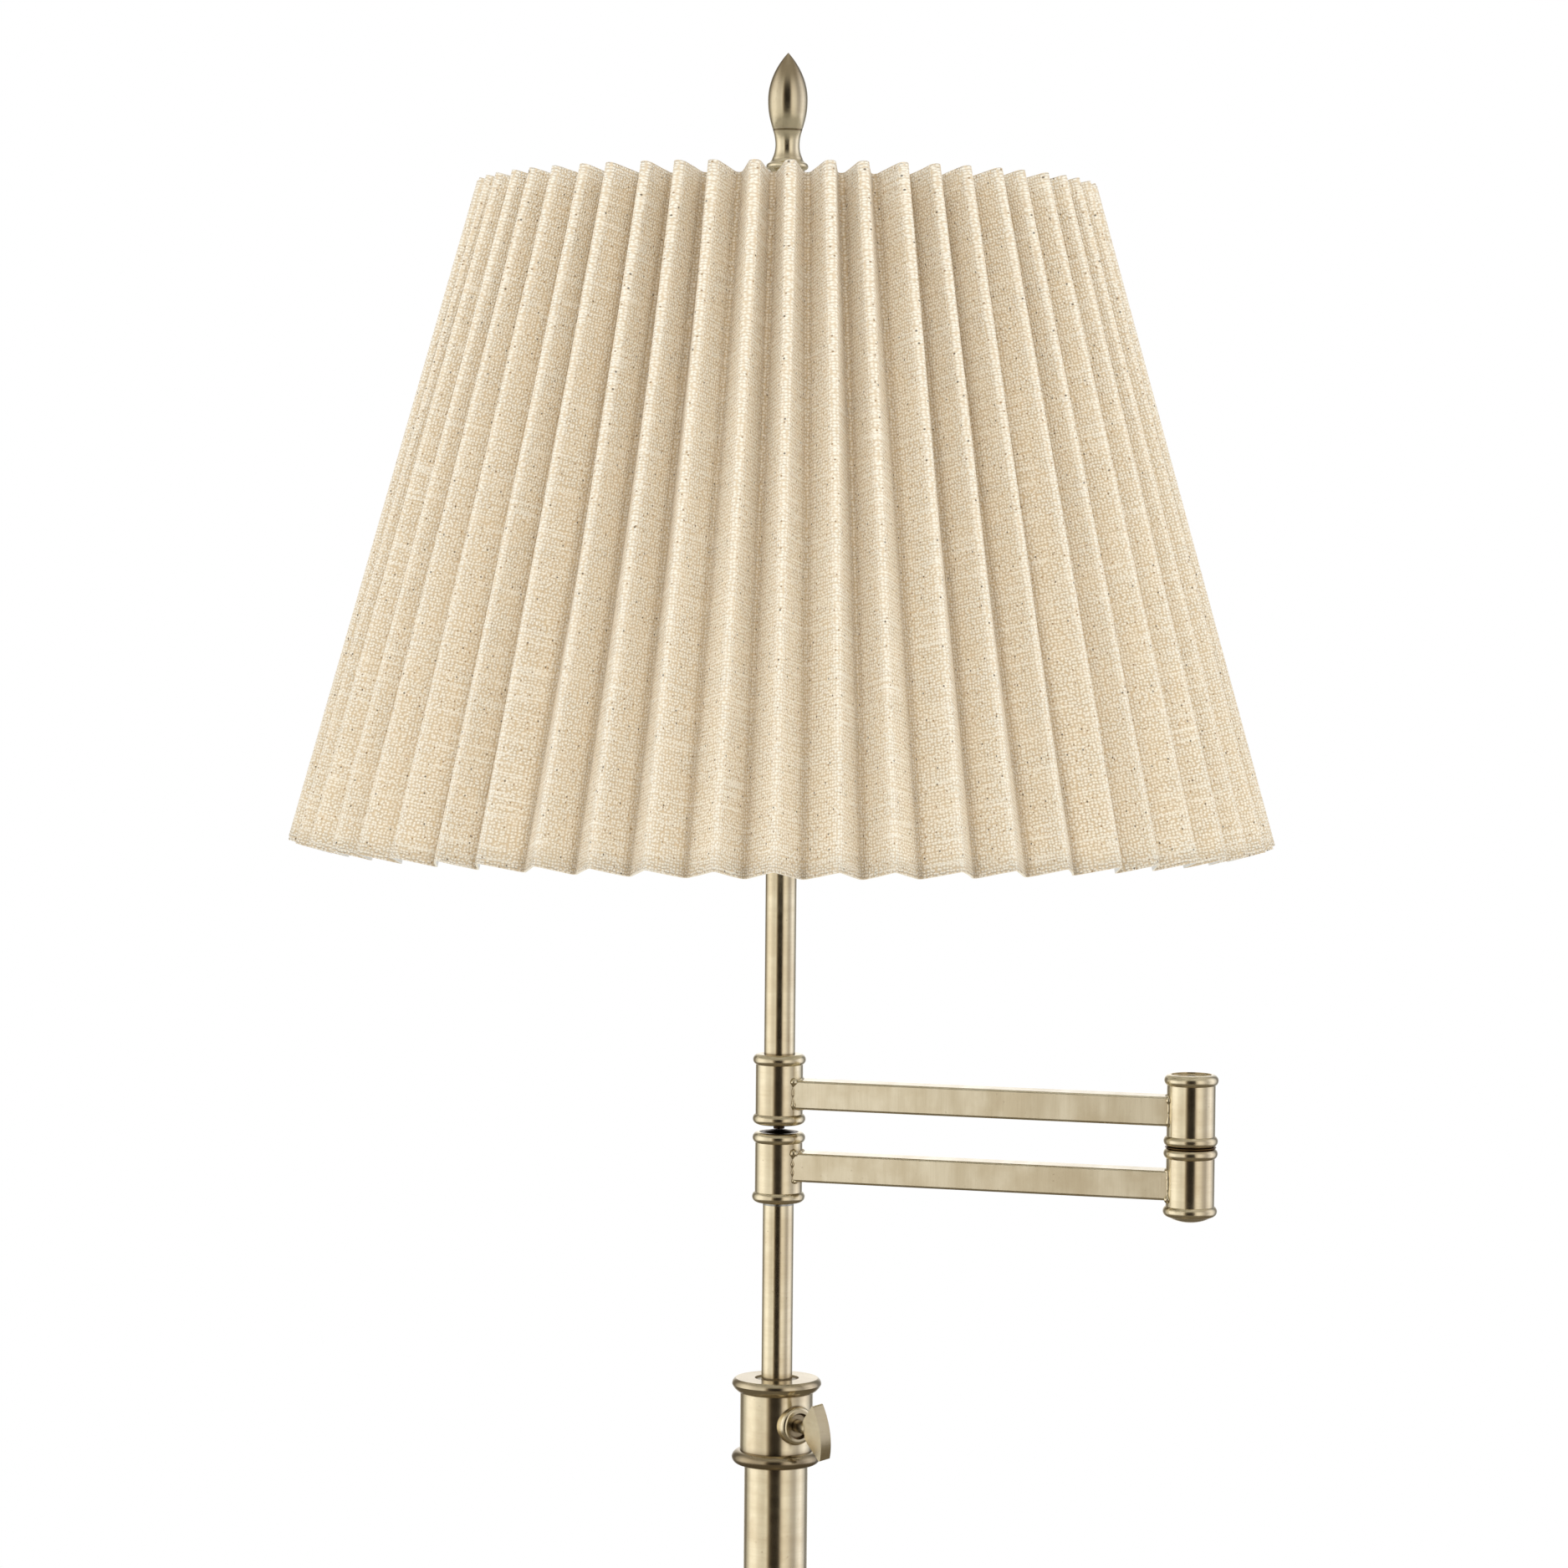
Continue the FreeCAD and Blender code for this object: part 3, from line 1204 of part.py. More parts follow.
def bulb():
    thread = D["lamp_thread_radius"]
    base = D["bulb_base_height"]
    start = CORE_END + D["contact_height"]
    shoulder = D["bulb_shoulder"]
    lead = shoulder + D["bulb_lead"]
    metal = turned("bulb_base", [
        (0.0, 0.0),
        (D["bulb_tip_radius"], 0.0),
        (thread - D["bulb_shoulder_inset"], shoulder),
        (thread - D["bulb_lead_inset"], lead),
        (thread, lead + D["bulb_lead_rise"]),
        (thread, base),
        (0.0, base),
    ])
    place(metal, z=start)
    keep(metal, "bulb_base")

    radius = D["bulb_radius"]
    wall = D["bulb_wall"]
    neck = thread + D["bulb_neck_flare"]
    rise = D["bulb_neck_height"]
    glass_height = D["bulb_length"] - base
    belly = glass_height - radius
    inner = radius - wall
    glass = turned("bulb_glass", [
        (thread, 0.0),
        (neck, rise, -D["bulb_neck_rounding"]),
        (radius * D["bulb_flank_share"], belly - radius * D["bulb_flank_drop"],
         -D["bulb_flank_rounding"]),
        (radius, belly, radius),
        (0.0, glass_height, radius),
        (0.0, glass_height - wall),
        (inner, belly, -inner),
        (inner * D["bulb_flank_share"], belly - inner * D["bulb_flank_drop"], -inner),
        (neck - wall, rise, D["bulb_flank_rounding"]),
        (thread - wall, 0.0, D["bulb_neck_rounding"]),
    ])
    place(glass, z=start + base)
    keep(glass, "bulb_glass")


def switch():
    """Turn switch on the socket's front: a stem and a fluted knob."""
    stem_start = LINER_RADIUS - D["liner_wall"] + D["seat_gap"]
    knob_start = SOCKET_RADIUS + D["knob_gap"]
    stem = doc.addObject("Part::Cylinder", "switch_stem_rod")
    bind(stem, "Radius", D["switch_stem_radius"])
    bind(stem, "Height", knob_start - stem_start)
    face_front(stem, stem_start)
    keep(stem, "switch_stem")

    radius = D["knob_radius"]
    length = D["knob_length"]
    skirt = D["knob_skirt_height"]
    edge = D["knob_edge"]
    grip_start = skirt + D["knob_shoulder"]
    grip_end = radius - D["knob_draft"]
    knob = turned("switch_knob", [
        (0.0, 0.0),
        (radius - D["knob_skirt_inset"], 0.0),
        (radius - D["knob_skirt_inset"], skirt),
        (radius, grip_start),
        (grip_end, length - edge),
        (grip_end - edge, length, edge),
        (0.0, length),
    ])
    flute = new_sketch(knob, "switch_knob_flute", "XY_Plane", grip_start)
    draw_circle(flute, radius + D["knob_flute_offset"], 0.0, D["knob_flute"])
    doc.recompute()
    groove = pocketed(knob, flute, length, reverse=True)
    doc.recompute()
    ring = knob.newObject("PartDesign::PolarPattern", "switch_knob_flutes")
    ring.Originals = [groove]
    ring.Axis = (flute, ["N_Axis"])
    ring.Angle = FULL_TURN
    bind(ring, "Occurrences", D["knob_flutes"])
    knob.Tip = ring
    face_front(knob, knob_start)
    keep(knob, "switch_knob")


def face_front(thing, reach):
    """Lay an upright piece along -Y on the switch's axis, starting at a reach from the post."""
    thing.Placement = FreeCAD.Placement(V(), FreeCAD.Rotation(V(1, 0, 0), 90.0))
    bind(thing, "Placement.Base.y", -reach)
    bind(thing, "Placement.Base.z", SWITCH_AXIS)


# ---------------------------------------------------------------- shade
SHADE_LEAN = math.atan2(D["shade_bottom_radius"].value - D["shade_top_radius"].value,
                        D["shade_height"].value)
GOLDEN_ANGLE = 2.399963
SPIDER_ARMS = 3


def pleat_points(end, depth, inward):
    """Ridge and valley points round one end of the shade, moved inward by the fabric.

    A valley lies in from its ridge along the cone's normal, so it is also lower.
    """
    count = int(D["pleats"].value)
    radius = D["shade_top_radius"].value if end == "top" else D["shade_bottom_radius"].value
    height = SHADE_TOP.value if end == "top" else SHADE_BOTTOM.value
    twist = math.radians(D[f"pleat_twist_{end}"].value)
    pitch = 2.0 * math.pi / count
    points = []
    for i in range(count):
        wander = D["pleat_wander"].value * pitch * math.sin(GOLDEN_ANGLE * i)
        for fold, half_step in ((0.0, 0.0), (1.0, 0.5)):
            angle = (i + half_step) * pitch + twist + (wander if fold == 0.0 else 0.0)
            sink = depth * fold + inward
            reach = radius - sink * math.cos(SHADE_LEAN)
            level = height - sink * math.sin(SHADE_LEAN)
            points.append(V(reach * math.sin(angle), -reach * math.cos(angle), level))
    return points


def strip(first, second):
    """Ruled faces between two closed runs of points."""
    faces = []
    count = len(first)
    for i in range(count):
        j = (i + 1) % count
        low = Part.LineSegment(first[i], first[j]).toShape()
        high = Part.LineSegment(second[i], second[j]).toShape()
        faces.append(Part.makeRuledSurface(low, high))
    return faces


def shade_fabric():
    """Accordion-pleated empire shade as one thin folded wall."""
    thick = D["fabric_thickness"].value
    depths = {"top": D["pleat_depth_top"].value, "bottom": D["pleat_depth_bottom"].value}
    outer = {end: pleat_points(end, depths[end], 0.0) for end in depths}
    inner = {end: pleat_points(end, depths[end], thick) for end in depths}
    faces = strip(outer["bottom"], outer["top"])
    faces += strip(inner["bottom"], inner["top"])
    faces += strip(inner["top"], outer["top"])
    faces += strip(inner["bottom"], outer["bottom"])
    shell = Part.makeShell(faces)
    shell.sewShape()
    solid = Part.makeSolid(Part.Shell(shell.Faces))
    if solid.Volume < 0:
        solid.reverse()
    fabric = doc.addObject("Part::Feature", "shade_fabric_wall")
    fabric.Shape = solid
    return keep(fabric, "shade_fabric")


def ring_radius(end, level):
    """Radius of a wire ring that lies just inside the valleys at a level."""
    depth = D["pleat_depth_top"] if end == "top" else D["pleat_depth_bottom"]
    radius = D["shade_top_radius"] if end == "top" else D["shade_bottom_radius"]
    height = SHADE_TOP if end == "top" else SHADE_BOTTOM
    spread = (D["shade_bottom_radius"] - D["shade_top_radius"]) / D["shade_height"]
    slant = root(spread * spread + 1.0)
    valley = radius - (depth + D["fabric_thickness"]) / slant
    valley_level = height - (depth + D["fabric_thickness"]) * spread / slant
    return valley + (valley_level - level) * spread - D["ring_wire"] * slant - D["ring_gap"]


TOP_RING_RADIUS = ring_radius("top", SPIDER_START)
BOTTOM_RING_LEVEL = SHADE_BOTTOM + D["ring_inset"]
BOTTOM_RING_RADIUS = ring_radius("bottom", BOTTOM_RING_LEVEL)


def wire_ring(name, level, radius):
    ring = doc.addObject("Part::Torus", name + "_wire")
    bind(ring, "Radius1", radius)
    bind(ring, "Radius2", D["ring_wire"])
    bind(ring, "Placement.Base.z", level)
    return ring


def shade_frame():
    keep(wire_ring("shade_top_ring", SPIDER_START, TOP_RING_RADIUS), "shade_top_ring")
    bottom = wire_ring("shade_bottom_ring", BOTTOM_RING_LEVEL, BOTTOM_RING_RADIUS)
    keep(bottom, "shade_bottom_ring")

    washer = D["spider_washer_radius"]
    thick = D["spider_washer_thickness"]
    body = turned("shade_spider", [
        (D["harp_stud_radius"] + D["running_gap"], 0.0),
        (washer, 0.0),
        (washer, thick),
        (D["harp_stud_radius"] + D["running_gap"], thick),
    ])
    doc.recompute()
    arm_root = washer - D["spider_root"]
    path = [(arm_root, thick / 2), (TOP_RING_RADIUS, 0.0)]
    arm = swept(body, "spider_arm", path, "YZ_Plane", arm_root, Size(0), thick / 2,
                D["spider_wire"])
    doc.recompute()
    arms = body.newObject("PartDesign::PolarPattern", "spider_arms")
    arms.Originals = [arm]
    arms.Axis = (origin_plane(body, "Z_Axis"), [""])
    arms.Angle = FULL_TURN
    arms.Occurrences = SPIDER_ARMS
    body.Tip = arms
    place(body, z=SPIDER_START)
    ring = wire_ring("spider_fit", SPIDER_START, TOP_RING_RADIUS)
    keep(cut_from("shade_spider", body, ring), "shade_spider")


def finial():
    """Slender leaf-shaped finial on a turned foot, bored for the harp's stud."""
    height = D["finial_height"]
    foot = D["finial_foot_radius"]
    stem = foot - D["finial_foot_step"]
    land = D["finial_foot_land"]
    step = D["finial_foot_step"]
    flange = D["finial_flange_radius"]
    flange_start = D["finial_stem_height"] + D["finial_flange_run"]
    flange_end = flange_start + D["finial_flange_land"]
    leaf = D["finial_leaf_radius"]
    seam = D["finial_seam_radius"]
    neck = D["finial_neck_radius"]
    bore = D["harp_stud_radius"] + D["running_gap"]
    depth = D["harp_stud_length"] - (FINIAL_START - HARP_PLATE_END) + D["finial_tip_gap"]
    belly = height - D["finial_belly_height"]
    seam_level = height - D["finial_leaf_height"]
    body = turned("finial", [
        (bore, 0.0),
        (foot, 0.0),
        (foot, land),
        (stem, land + step, -step),
        (stem, D["finial_stem_height"]),
        (flange, flange_start, -flange_start * 0.27),
        (flange, flange_end, D["finial_flange_land"] * 0.58),
        (neck + 1.2, flange_end + D["finial_neck_run"], -3.4),
        (neck, seam_level - 6.1, -12.0),
        (seam - 0.2, seam_level - 0.3, -18.0),
        (seam, seam_level + 0.5),
        (leaf, belly, (seam + 1.6, seam_level + 5.2), (leaf, belly - 3.8)),
        (0.0, height, (leaf, belly + 6.8), (5.3, height - 5.7)),
        (0.0, depth),
        (bore, depth),
    ])
    place(body, z=FINIAL_START)
    keep(body, "finial")


# ---------------------------------------------------------------- build, check and write
def build_all():
    base_cover()
    base_weight()
    base_fittings()
    cord_bushing()
    pole_foot()
    poles()
    adjuster_collar()
    guide_bush()
    key_boss()
    thumb_key()
    sliding_post()
    arm_sleeves()
    arm_bars()
    arm_caps()
    pivot_stud()
    riser()
    harp_saddle()
    harp()
    ferrules()
    socket()
    bulb()
    switch()
    shade_fabric()
    shade_frame()
    finial()


def check_all():
    doc.recompute()
    failed = [item.Name for item in doc.Objects
              if "Invalid" in item.State or "Error" in item.State]
    if failed:
        raise RuntimeError(f"failed features: {failed}")
    for part in parts:
        shape = part.Shape
        if shape.isNull() or not shape.isValid() or not shape.Solids:
            raise RuntimeError(f"bad shape: {part.Label}")


def write_all():
    os.makedirs("parts", exist_ok=True)
    for part in parts:
        part.Shape.exportStep(f"parts/{part.Label}.step")
    print(f"{len(parts)} pieces")


build_all()
check_all()
write_all()
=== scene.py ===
"""Looks for the bridge floor lamp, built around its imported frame.

The lamp's sizes and levels are named in millimetres, the studio's in metres.
"""
import math
import random
from collections import namedtuple

import bpy
from mathutils import Matrix, Vector


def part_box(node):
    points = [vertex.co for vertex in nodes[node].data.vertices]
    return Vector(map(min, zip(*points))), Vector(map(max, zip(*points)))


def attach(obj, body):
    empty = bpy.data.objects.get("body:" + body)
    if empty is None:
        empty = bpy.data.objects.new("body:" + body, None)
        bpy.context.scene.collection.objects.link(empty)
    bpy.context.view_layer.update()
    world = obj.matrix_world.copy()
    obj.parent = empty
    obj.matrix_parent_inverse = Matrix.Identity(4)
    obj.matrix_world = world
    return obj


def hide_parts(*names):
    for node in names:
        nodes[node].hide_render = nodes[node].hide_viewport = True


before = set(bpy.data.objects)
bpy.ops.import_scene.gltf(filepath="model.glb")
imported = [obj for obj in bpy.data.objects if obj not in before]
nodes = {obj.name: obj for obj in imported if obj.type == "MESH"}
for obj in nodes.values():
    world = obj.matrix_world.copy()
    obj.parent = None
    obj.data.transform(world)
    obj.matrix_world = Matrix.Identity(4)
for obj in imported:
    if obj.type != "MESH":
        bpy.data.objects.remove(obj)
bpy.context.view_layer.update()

MM = 0.001
# The arms are turned this far towards the viewer.
ARM_TURN = math.radians(17.4)
# The start of a random wave lies anywhere in one turn.
PHASE = (0.0, 6.28)


# ---------------------------------------------------------------- node graphs
class Graph:
    """A short way to write a material's or the world's nodes."""

    def __init__(self, tree):
        self.tree = tree
        tree.nodes.clear()

    def node(self, kind, inputs=None, **settings):
        node = self.tree.nodes.new("ShaderNode" + kind)
        for name, value in settings.items():
            setattr(node, name, value)
        for name, value in (inputs or {}).items():
            if isinstance(value, bpy.types.NodeSocket):
                self.tree.links.new(value, node.inputs[name])
            else:
                node.inputs[name].default_value = value
        return node

    def add(self, kind, inputs=None, out=0, **settings):
        """A new node's output, the first one unless out names another."""
        return self.node(kind, inputs, **settings).outputs[out]

    def math(self, operation, a, b=0.0):
        return self.add("Math", {0: a, 1: b}, operation=operation)

    def mix(self, share, a, b):
        return self.add("Mix", {0: share, 6: a, 7: b}, 2, data_type="RGBA")

    def spread(self, value, low, high, to_low=0.0, to_high=1.0):
        """A smooth step from to_low, where the value is low, to to_high, where it is high."""
        inputs = {0: value, 1: low, 2: high, 3: to_low, 4: to_high}
        return self.add("MapRange", inputs, interpolation_type="SMOOTHSTEP")

    def scaled(self, vector, scale, turn=(0.0, 0.0, 0.0)):
        return self.add("Mapping", {"Vector": vector, "Scale": scale, "Rotation": turn})

    def height(self, vector):
        return self.add("SeparateXYZ", {0: vector}, "Z")

    def ramp(self, value, stops):
        """A run of colours through (place, colour) stops, each eased into the next.

        Stops may change their order while they move, so their colours come afterwards.
        """
        node = self.node("ValToRGB", {0: value})
        node.color_ramp.interpolation = "EASE"
        elements = node.color_ramp.elements
        while len(elements) < len(stops):
            elements.new(0.5)
        for element, (place, colour) in zip(elements, stops):
            element.position = place
        for element, (place, colour) in zip(elements, stops):
            element.color = (*colour, 1.0)
        return node.outputs["Color"]

    def noise(self, vector, scale=1.0, detail=2.0, rough=0.5):
        inputs = {"Vector": vector, "Scale": scale, "Detail": detail, "Roughness": rough}
        return self.add("TexNoise", inputs)

    def cells(self, vector, size, **inputs):
        """Outputs of a flat pattern of cells that are that far apart."""
        inputs = {"Vector": vector, "Scale": 1 / size, **inputs}
        return self.node("TexVoronoi", inputs, voronoi_dimensions="2D").outputs

    def bump(self, height, strength, depth):
        return self.add("Bump", {"Strength": strength, "Distance": depth * MM, "Height": height})


def material(name):
    made = bpy.data.materials.new(name)
    made.use_nodes = True
    return made, Graph(made.node_tree)


def finish_material(made, graph, looks):
    """Ends a material in one principled surface, with these values for its sockets."""
    surface = graph.add("BsdfPrincipled", looks)
    graph.node("OutputMaterial", {"Surface": surface})
    return made


def rgb(red, green, blue):
    """A colour as a screen shows it, from 0 to 255, in linear light."""
    parts = []
    for level in (red, green, blue):
        level = level / 255
        parts.append(level / 12.92 if level <= 0.04045 else ((level + 0.055) / 1.055) ** 2.4)
    return (*parts, 1.0)


# ---------------------------------------------------------------- metals and plain solids
# How a piece is brushed: the turn of its lines, how fine its lines and its bands are along
# each axis, how much the bands show, its fresh and worn colours, and its anisotropy.
Brushing = namedtuple("Brushing", "turn lines bands band_share fresh worn anisotropy")
ROUND_TUBE = Brushing(turn=0.0, lines=(90.0, 90.0, 2600.0), bands=(8.0, 8.0, 160.0),
                      band_share=0.30, fresh=rgb(228, 217, 187), worn=rgb(214, 200, 169),
                      anisotropy=0.45)
ACROSS_BAR = Brushing(turn=ARM_TURN, lines=(2600.0, 60.0, 90.0), bands=(95.0, 12.0, 20.0),
                      band_share=0.50, fresh=rgb(234, 226, 202), worn=rgb(220, 209, 182),
                      anisotropy=0.0)
BRASS_BAND = rgb(204, 188, 153)
BRASS_LINE = rgb(176, 156, 118)
BRASS_SPECK = rgb(120, 98, 66)
# Patina with painted shade, laid into grooves by ambient occlusion.
BRASS_GROOVE_PATINA_AND_SHADE = rgb(98, 74, 44)
BRASS_DARK_BAND = rgb(106, 84, 54)
METAL_MOTTLE = 60.0

# Darker brown bands round the finial and the collar: their level, how far they reach up and
# down, and how much of the brown shows. The finial's seam band is a dark joint line and its
# tip band is painted shade; the collar is darker at its foot and near its top.
DarkBand = namedtuple("DarkBand", "level reach strength")
FINIAL_SEAM = DarkBand(level=1419.6, reach=0.6, strength=0.8)
# Painted shade, darker towards the finial's tip.
FINIAL_TIP = DarkBand(level=1462.0, reach=44.0, strength=0.62)
# Darker at the collar's foot and near its top.
COLLAR_FOOT = DarkBand(level=868.4, reach=6.0, strength=0.60)
COLLAR_TOP = DarkBand(level=902.0, reach=7.5, strength=0.30)


def brushed_brass(name, brushing=ROUND_TUBE, groove=2.0, dark_bands=()):
    """Antique brass, satin brushed in fine lines, and darkened in grooves up to that wide: patina
    with painted shade.
    """
    made, g = material(name)
    place = g.add("TexCoord", out="Object")
    if brushing.turn:
        place = g.scaled(place, (1.0, 1.0, 1.0), (0.0, 0.0, brushing.turn))
    lines = g.noise(g.scaled(place, brushing.lines))
    bands = g.noise(g.scaled(place, brushing.bands), detail=3.0, rough=0.55)
    clouds = g.noise(place, 60.0, 3.0, 0.55)
    specks = g.noise(place, 700.0, 1.0)
    colour = g.mix(g.spread(clouds, 0.38, 0.68), brushing.fresh, brushing.worn)
    colour = g.mix(g.spread(bands, 0.35, 0.75, 0.0, brushing.band_share), colour, BRASS_BAND)
    colour = g.mix(g.spread(lines, 0.4, 0.8, 0.0, 0.10), colour, BRASS_LINE)
    colour = g.mix(g.spread(specks, 0.72, 0.80, 0.0, 0.25), colour, BRASS_SPECK)
    # Ambient occlusion darkens grooves and recesses: painted shade, partly patina in the hollows.
    open_share = g.add("AmbientOcclusion", {"Distance": groove * MM}, "AO", samples=8)
    colour = g.mix(g.spread(open_share, 0.30, 0.86, 0.94, 0.0), colour, BRASS_GROOVE_PATINA_AND_SHADE)
    # Each band darkens the brass round its level; the finial's tip band is painted shade.
    for band in dark_bands:
        away = g.math("ABSOLUTE", g.math("SUBTRACT", g.height(place), band.level * MM))
        share = g.spread(away, band.reach * 0.25 * MM, band.reach * MM, band.strength, 0.0)
        colour = g.mix(share, colour, BRASS_DARK_BAND)
    return finish_material(made, g, {
        "Base Color": colour, "Metallic": 1.0, "Normal": g.bump(lines, 0.03, 0.02),
        "Roughness": g.spread(bands, 0.3, 0.7, 0.195, 0.25),
        "Anisotropic": brushing.anisotropy, "Anisotropic Rotation": 0.25,
        "Tangent": g.add("Tangent", direction_type="RADIAL", axis="Z")})


def plain_metal(name, colour, dark, rough):
    """A metal with clouds of a darker colour and a finely uneven shine."""
    made, g = material(name)
    place = g.add("TexCoord", out="Object")
    clouds = g.noise(place, METAL_MOTTLE, 4.0, 0.6)
    fine = g.noise(place, METAL_MOTTLE * 14)
    return finish_material(made, g, {
        "Base Color": g.mix(g.spread(clouds, 0.35, 0.7), colour, dark), "Metallic": 1.0,
        "Roughness": g.spread(fine, 0.3, 0.7, rough * 0.8, rough * 1.25),
        "Normal": g.bump(fine, 0.15, 0.05)})


def plain_solid(name, colour, dark, rough, grain=400.0, bump_depth=0.05, sheen=0.0):
    """Anything but metal, with clouds of a darker colour and a fine grain."""
    made, g = material(name)
    place = g.add("TexCoord", out="Object")
    clouds = g.noise(place, grain * 0.1, 3.0)
    fine = g.noise(place, grain, 3.0, 0.6)
    return finish_material(made, g, {
        "Base Color": g.mix(g.spread(clouds, 0.35, 0.7), colour, dark),
        "Roughness": g.spread(fine, 0.3, 0.7, rough * 0.85, min(1.0, rough * 1.15)),
        "Normal": g.bump(fine, 0.4, bump_depth), "Sheen Weight": sheen})


def frosted_glass():
    made, g = material("frosted_glass")
    fine = g.noise(g.add("TexCoord", out="Object"), 1500.0)
    return finish_material(made, g, {
        "Base Color": g.mix(g.spread(fine, 0.3, 0.7), rgb(250, 249, 244), rgb(240, 239, 233)),
        "Roughness": g.spread(fine, 0.3, 0.7, 0.38, 0.5), "Normal": g.bump(fine, 0.1, 0.02),
        "Transmission Weight": 0.3, "IOR": 1.5})


# ---------------------------------------------------------------- linen
# The width of a face of a pleat on the flat cloth. Faces meet in ridges and valleys by turns.
FACE = 17.0
# The size of the weave's knots, and how far they wander from their rows.
KNOT = 1.25
KNOT_WANDER = 0.7
# Between the knots: the yarn's tone with painted shade.
LINEN_GAP_TONE_AND_SHADE = rgb(209, 187, 153)
LINEN_HIGH = rgb(248, 239, 220)
LINEN_SLUB = rgb(246, 238, 220)
LINEN_THICK = rgb(204, 184, 150)
# Painted shade with dust for the valleys, a painted highlight with wear for the ridges.
LINEN_VALLEY_DUST_AND_SHADE = rgb(176, 153, 119)
LINEN_RIDGE_WEAR_AND_HIGHLIGHT = rgb(247, 241, 226)
# Husks in the yarn: how far apart, the share of the places without one, and their colour.
Fleck = namedtuple("Fleck", "spacing bare colour")
FLECKS = (Fleck(8.0, 0.42, rgb(74, 60, 44)), Fleck(5.0, 0.50, rgb(156, 126, 88)))
FLECK_RADIUS = (0.18, 0.42)


def linen_yarn(g, cloth, raised, fine):
    """The yarn's colour: pale on its knots and darker between them, partly painted shade, with
    pale slubs and thicker, darker threads.
    """
    light = g.math("ADD", g.math("MULTIPLY", raised, 0.6), g.math("MULTIPLY", fine, 0.6))
    # Darker between the knots: the yarn's tone with painted shade.
    base = g.mix(g.spread(light, 0.2, 0.85), LINEN_GAP_TONE_AND_SHADE, LINEN_HIGH)
    weft = g.noise(g.scaled(cloth, (0.035, 1.0, 1.0)))
    warp = g.noise(g.scaled(cloth, (1.1, 0.03, 1.0)))
    slub = g.math("MAXIMUM", g.spread(weft, 0.57, 0.68, 0.0, 0.75),
                  g.spread(warp, 0.64, 0.74, 0.0, 0.2))
    slubbed = g.mix(slub, base, LINEN_SLUB)
    return g.mix(g.spread(weft, 0.30, 0.42, 0.30, 0.0), slubbed, LINEN_THICK)


def linen_folds(g, cloth, knot_distance, colour):
    """Paints shade, partly dust, in the valleys and a highlight, partly wear, on the ridges."""
    across = g.add("SeparateXYZ", {0: cloth}, "X")
    fold = g.math("PINGPONG", across, FACE)
    # Painted shade in the valleys, partly dust.
    in_valley = g.math("MULTIPLY", g.spread(fold, 12.0, 16.5, 0.0, 0.60),
                       g.spread(knot_distance, 0.1, 0.6, 0.6, 1.0))
    # A painted highlight along the ridges, partly wear of the folded threads.
    on_ridge = g.math("MULTIPLY", g.spread(fold, 0.5, 3.8, 0.28, 0.0),
                      g.spread(knot_distance, 0.2, 0.75, 1.0, 0.45))
    return g.mix(on_ridge, g.mix(in_valley, colour, LINEN_VALLEY_DUST_AND_SHADE), LINEN_RIDGE_WEAR_AND_HIGHLIGHT)


def linen_flecks(g, cloth, colour):
    """Sprinkles the cloth with husks."""
    for fleck in FLECKS:
        spot = g.cells(g.scaled(cloth, (1.0, 0.8, 1.0)), fleck.spacing)
        chosen = g.add("SeparateColor", {0: spot["Color"]})
        reach = g.math("MULTIPLY", spot["Distance"], fleck.spacing)
        dot = g.math("MULTIPLY", g.spread(reach, *FLECK_RADIUS, 1.0, 0.0),
                     g.spread(chosen, fleck.bare, fleck.bare + 0.01, 0.0, 0.85))
        colour = g.mix(dot, colour, fleck.colour)
    return colour


def linen():
    """Nubby oatmeal linen. Its map is the flat cloth in millimetres."""
    made, g = material("natural_linen")
    cloth = g.add("UVMap", uv_map="cloth")
    wobble = g.noise(cloth, 0.35)
    shift = g.add("VectorMath", {0: g.add("CombineXYZ", {0: wobble, 1: wobble}),
                                 "Scale": KNOT_WANDER}, operation="SCALE")
    moved = g.add("VectorMath", {0: cloth, 1: shift}, operation="ADD")
    knot_distance = g.cells(moved, KNOT, Randomness=0.5)["Distance"]
    knot = g.spread(knot_distance, 0.12, 0.62, 1.0, 0.0)
    nubby = g.spread(g.noise(cloth, 0.10, 3.0, 0.6), 0.35, 0.65, 0.65, 1.0)
    raised = g.math("MULTIPLY", knot, nubby)
    fine = g.noise(cloth, 2.2, 2.0, 0.6)
    colour = linen_yarn(g, cloth, raised, fine)
    colour = linen_folds(g, cloth, knot_distance, colour)
    colour = linen_flecks(g, cloth, colour)
    height = g.math("ADD", raised, g.math("MULTIPLY", fine, 0.5))
    return finish_material(made, g, {
        "Base Color": colour, "Roughness": 0.92, "Normal": g.bump(height, 1.0, 0.4),
        "Specular IOR Level": 0.2, "Sheen Weight": 0.15, "Sheen Roughness": 0.5})


# ---------------------------------------------------------------- the pieces' materials
seam_brass = brushed_brass("antique_brass_seam", groove=0.4)
washer_bronze = plain_metal("pivot_washer_bronze", rgb(150, 122, 82), rgb(118, 92, 58), 0.35)
cloth_front = linen()
cloth_back = plain_solid("white_backing", rgb(246, 244, 238), rgb(238, 235, 228), 0.5, 500.0,
                         0.03)
cloth_edge = plain_solid("cut_edge", rgb(244, 236, 216), rgb(232, 220, 196), 0.85, 1500.0, 0.2)

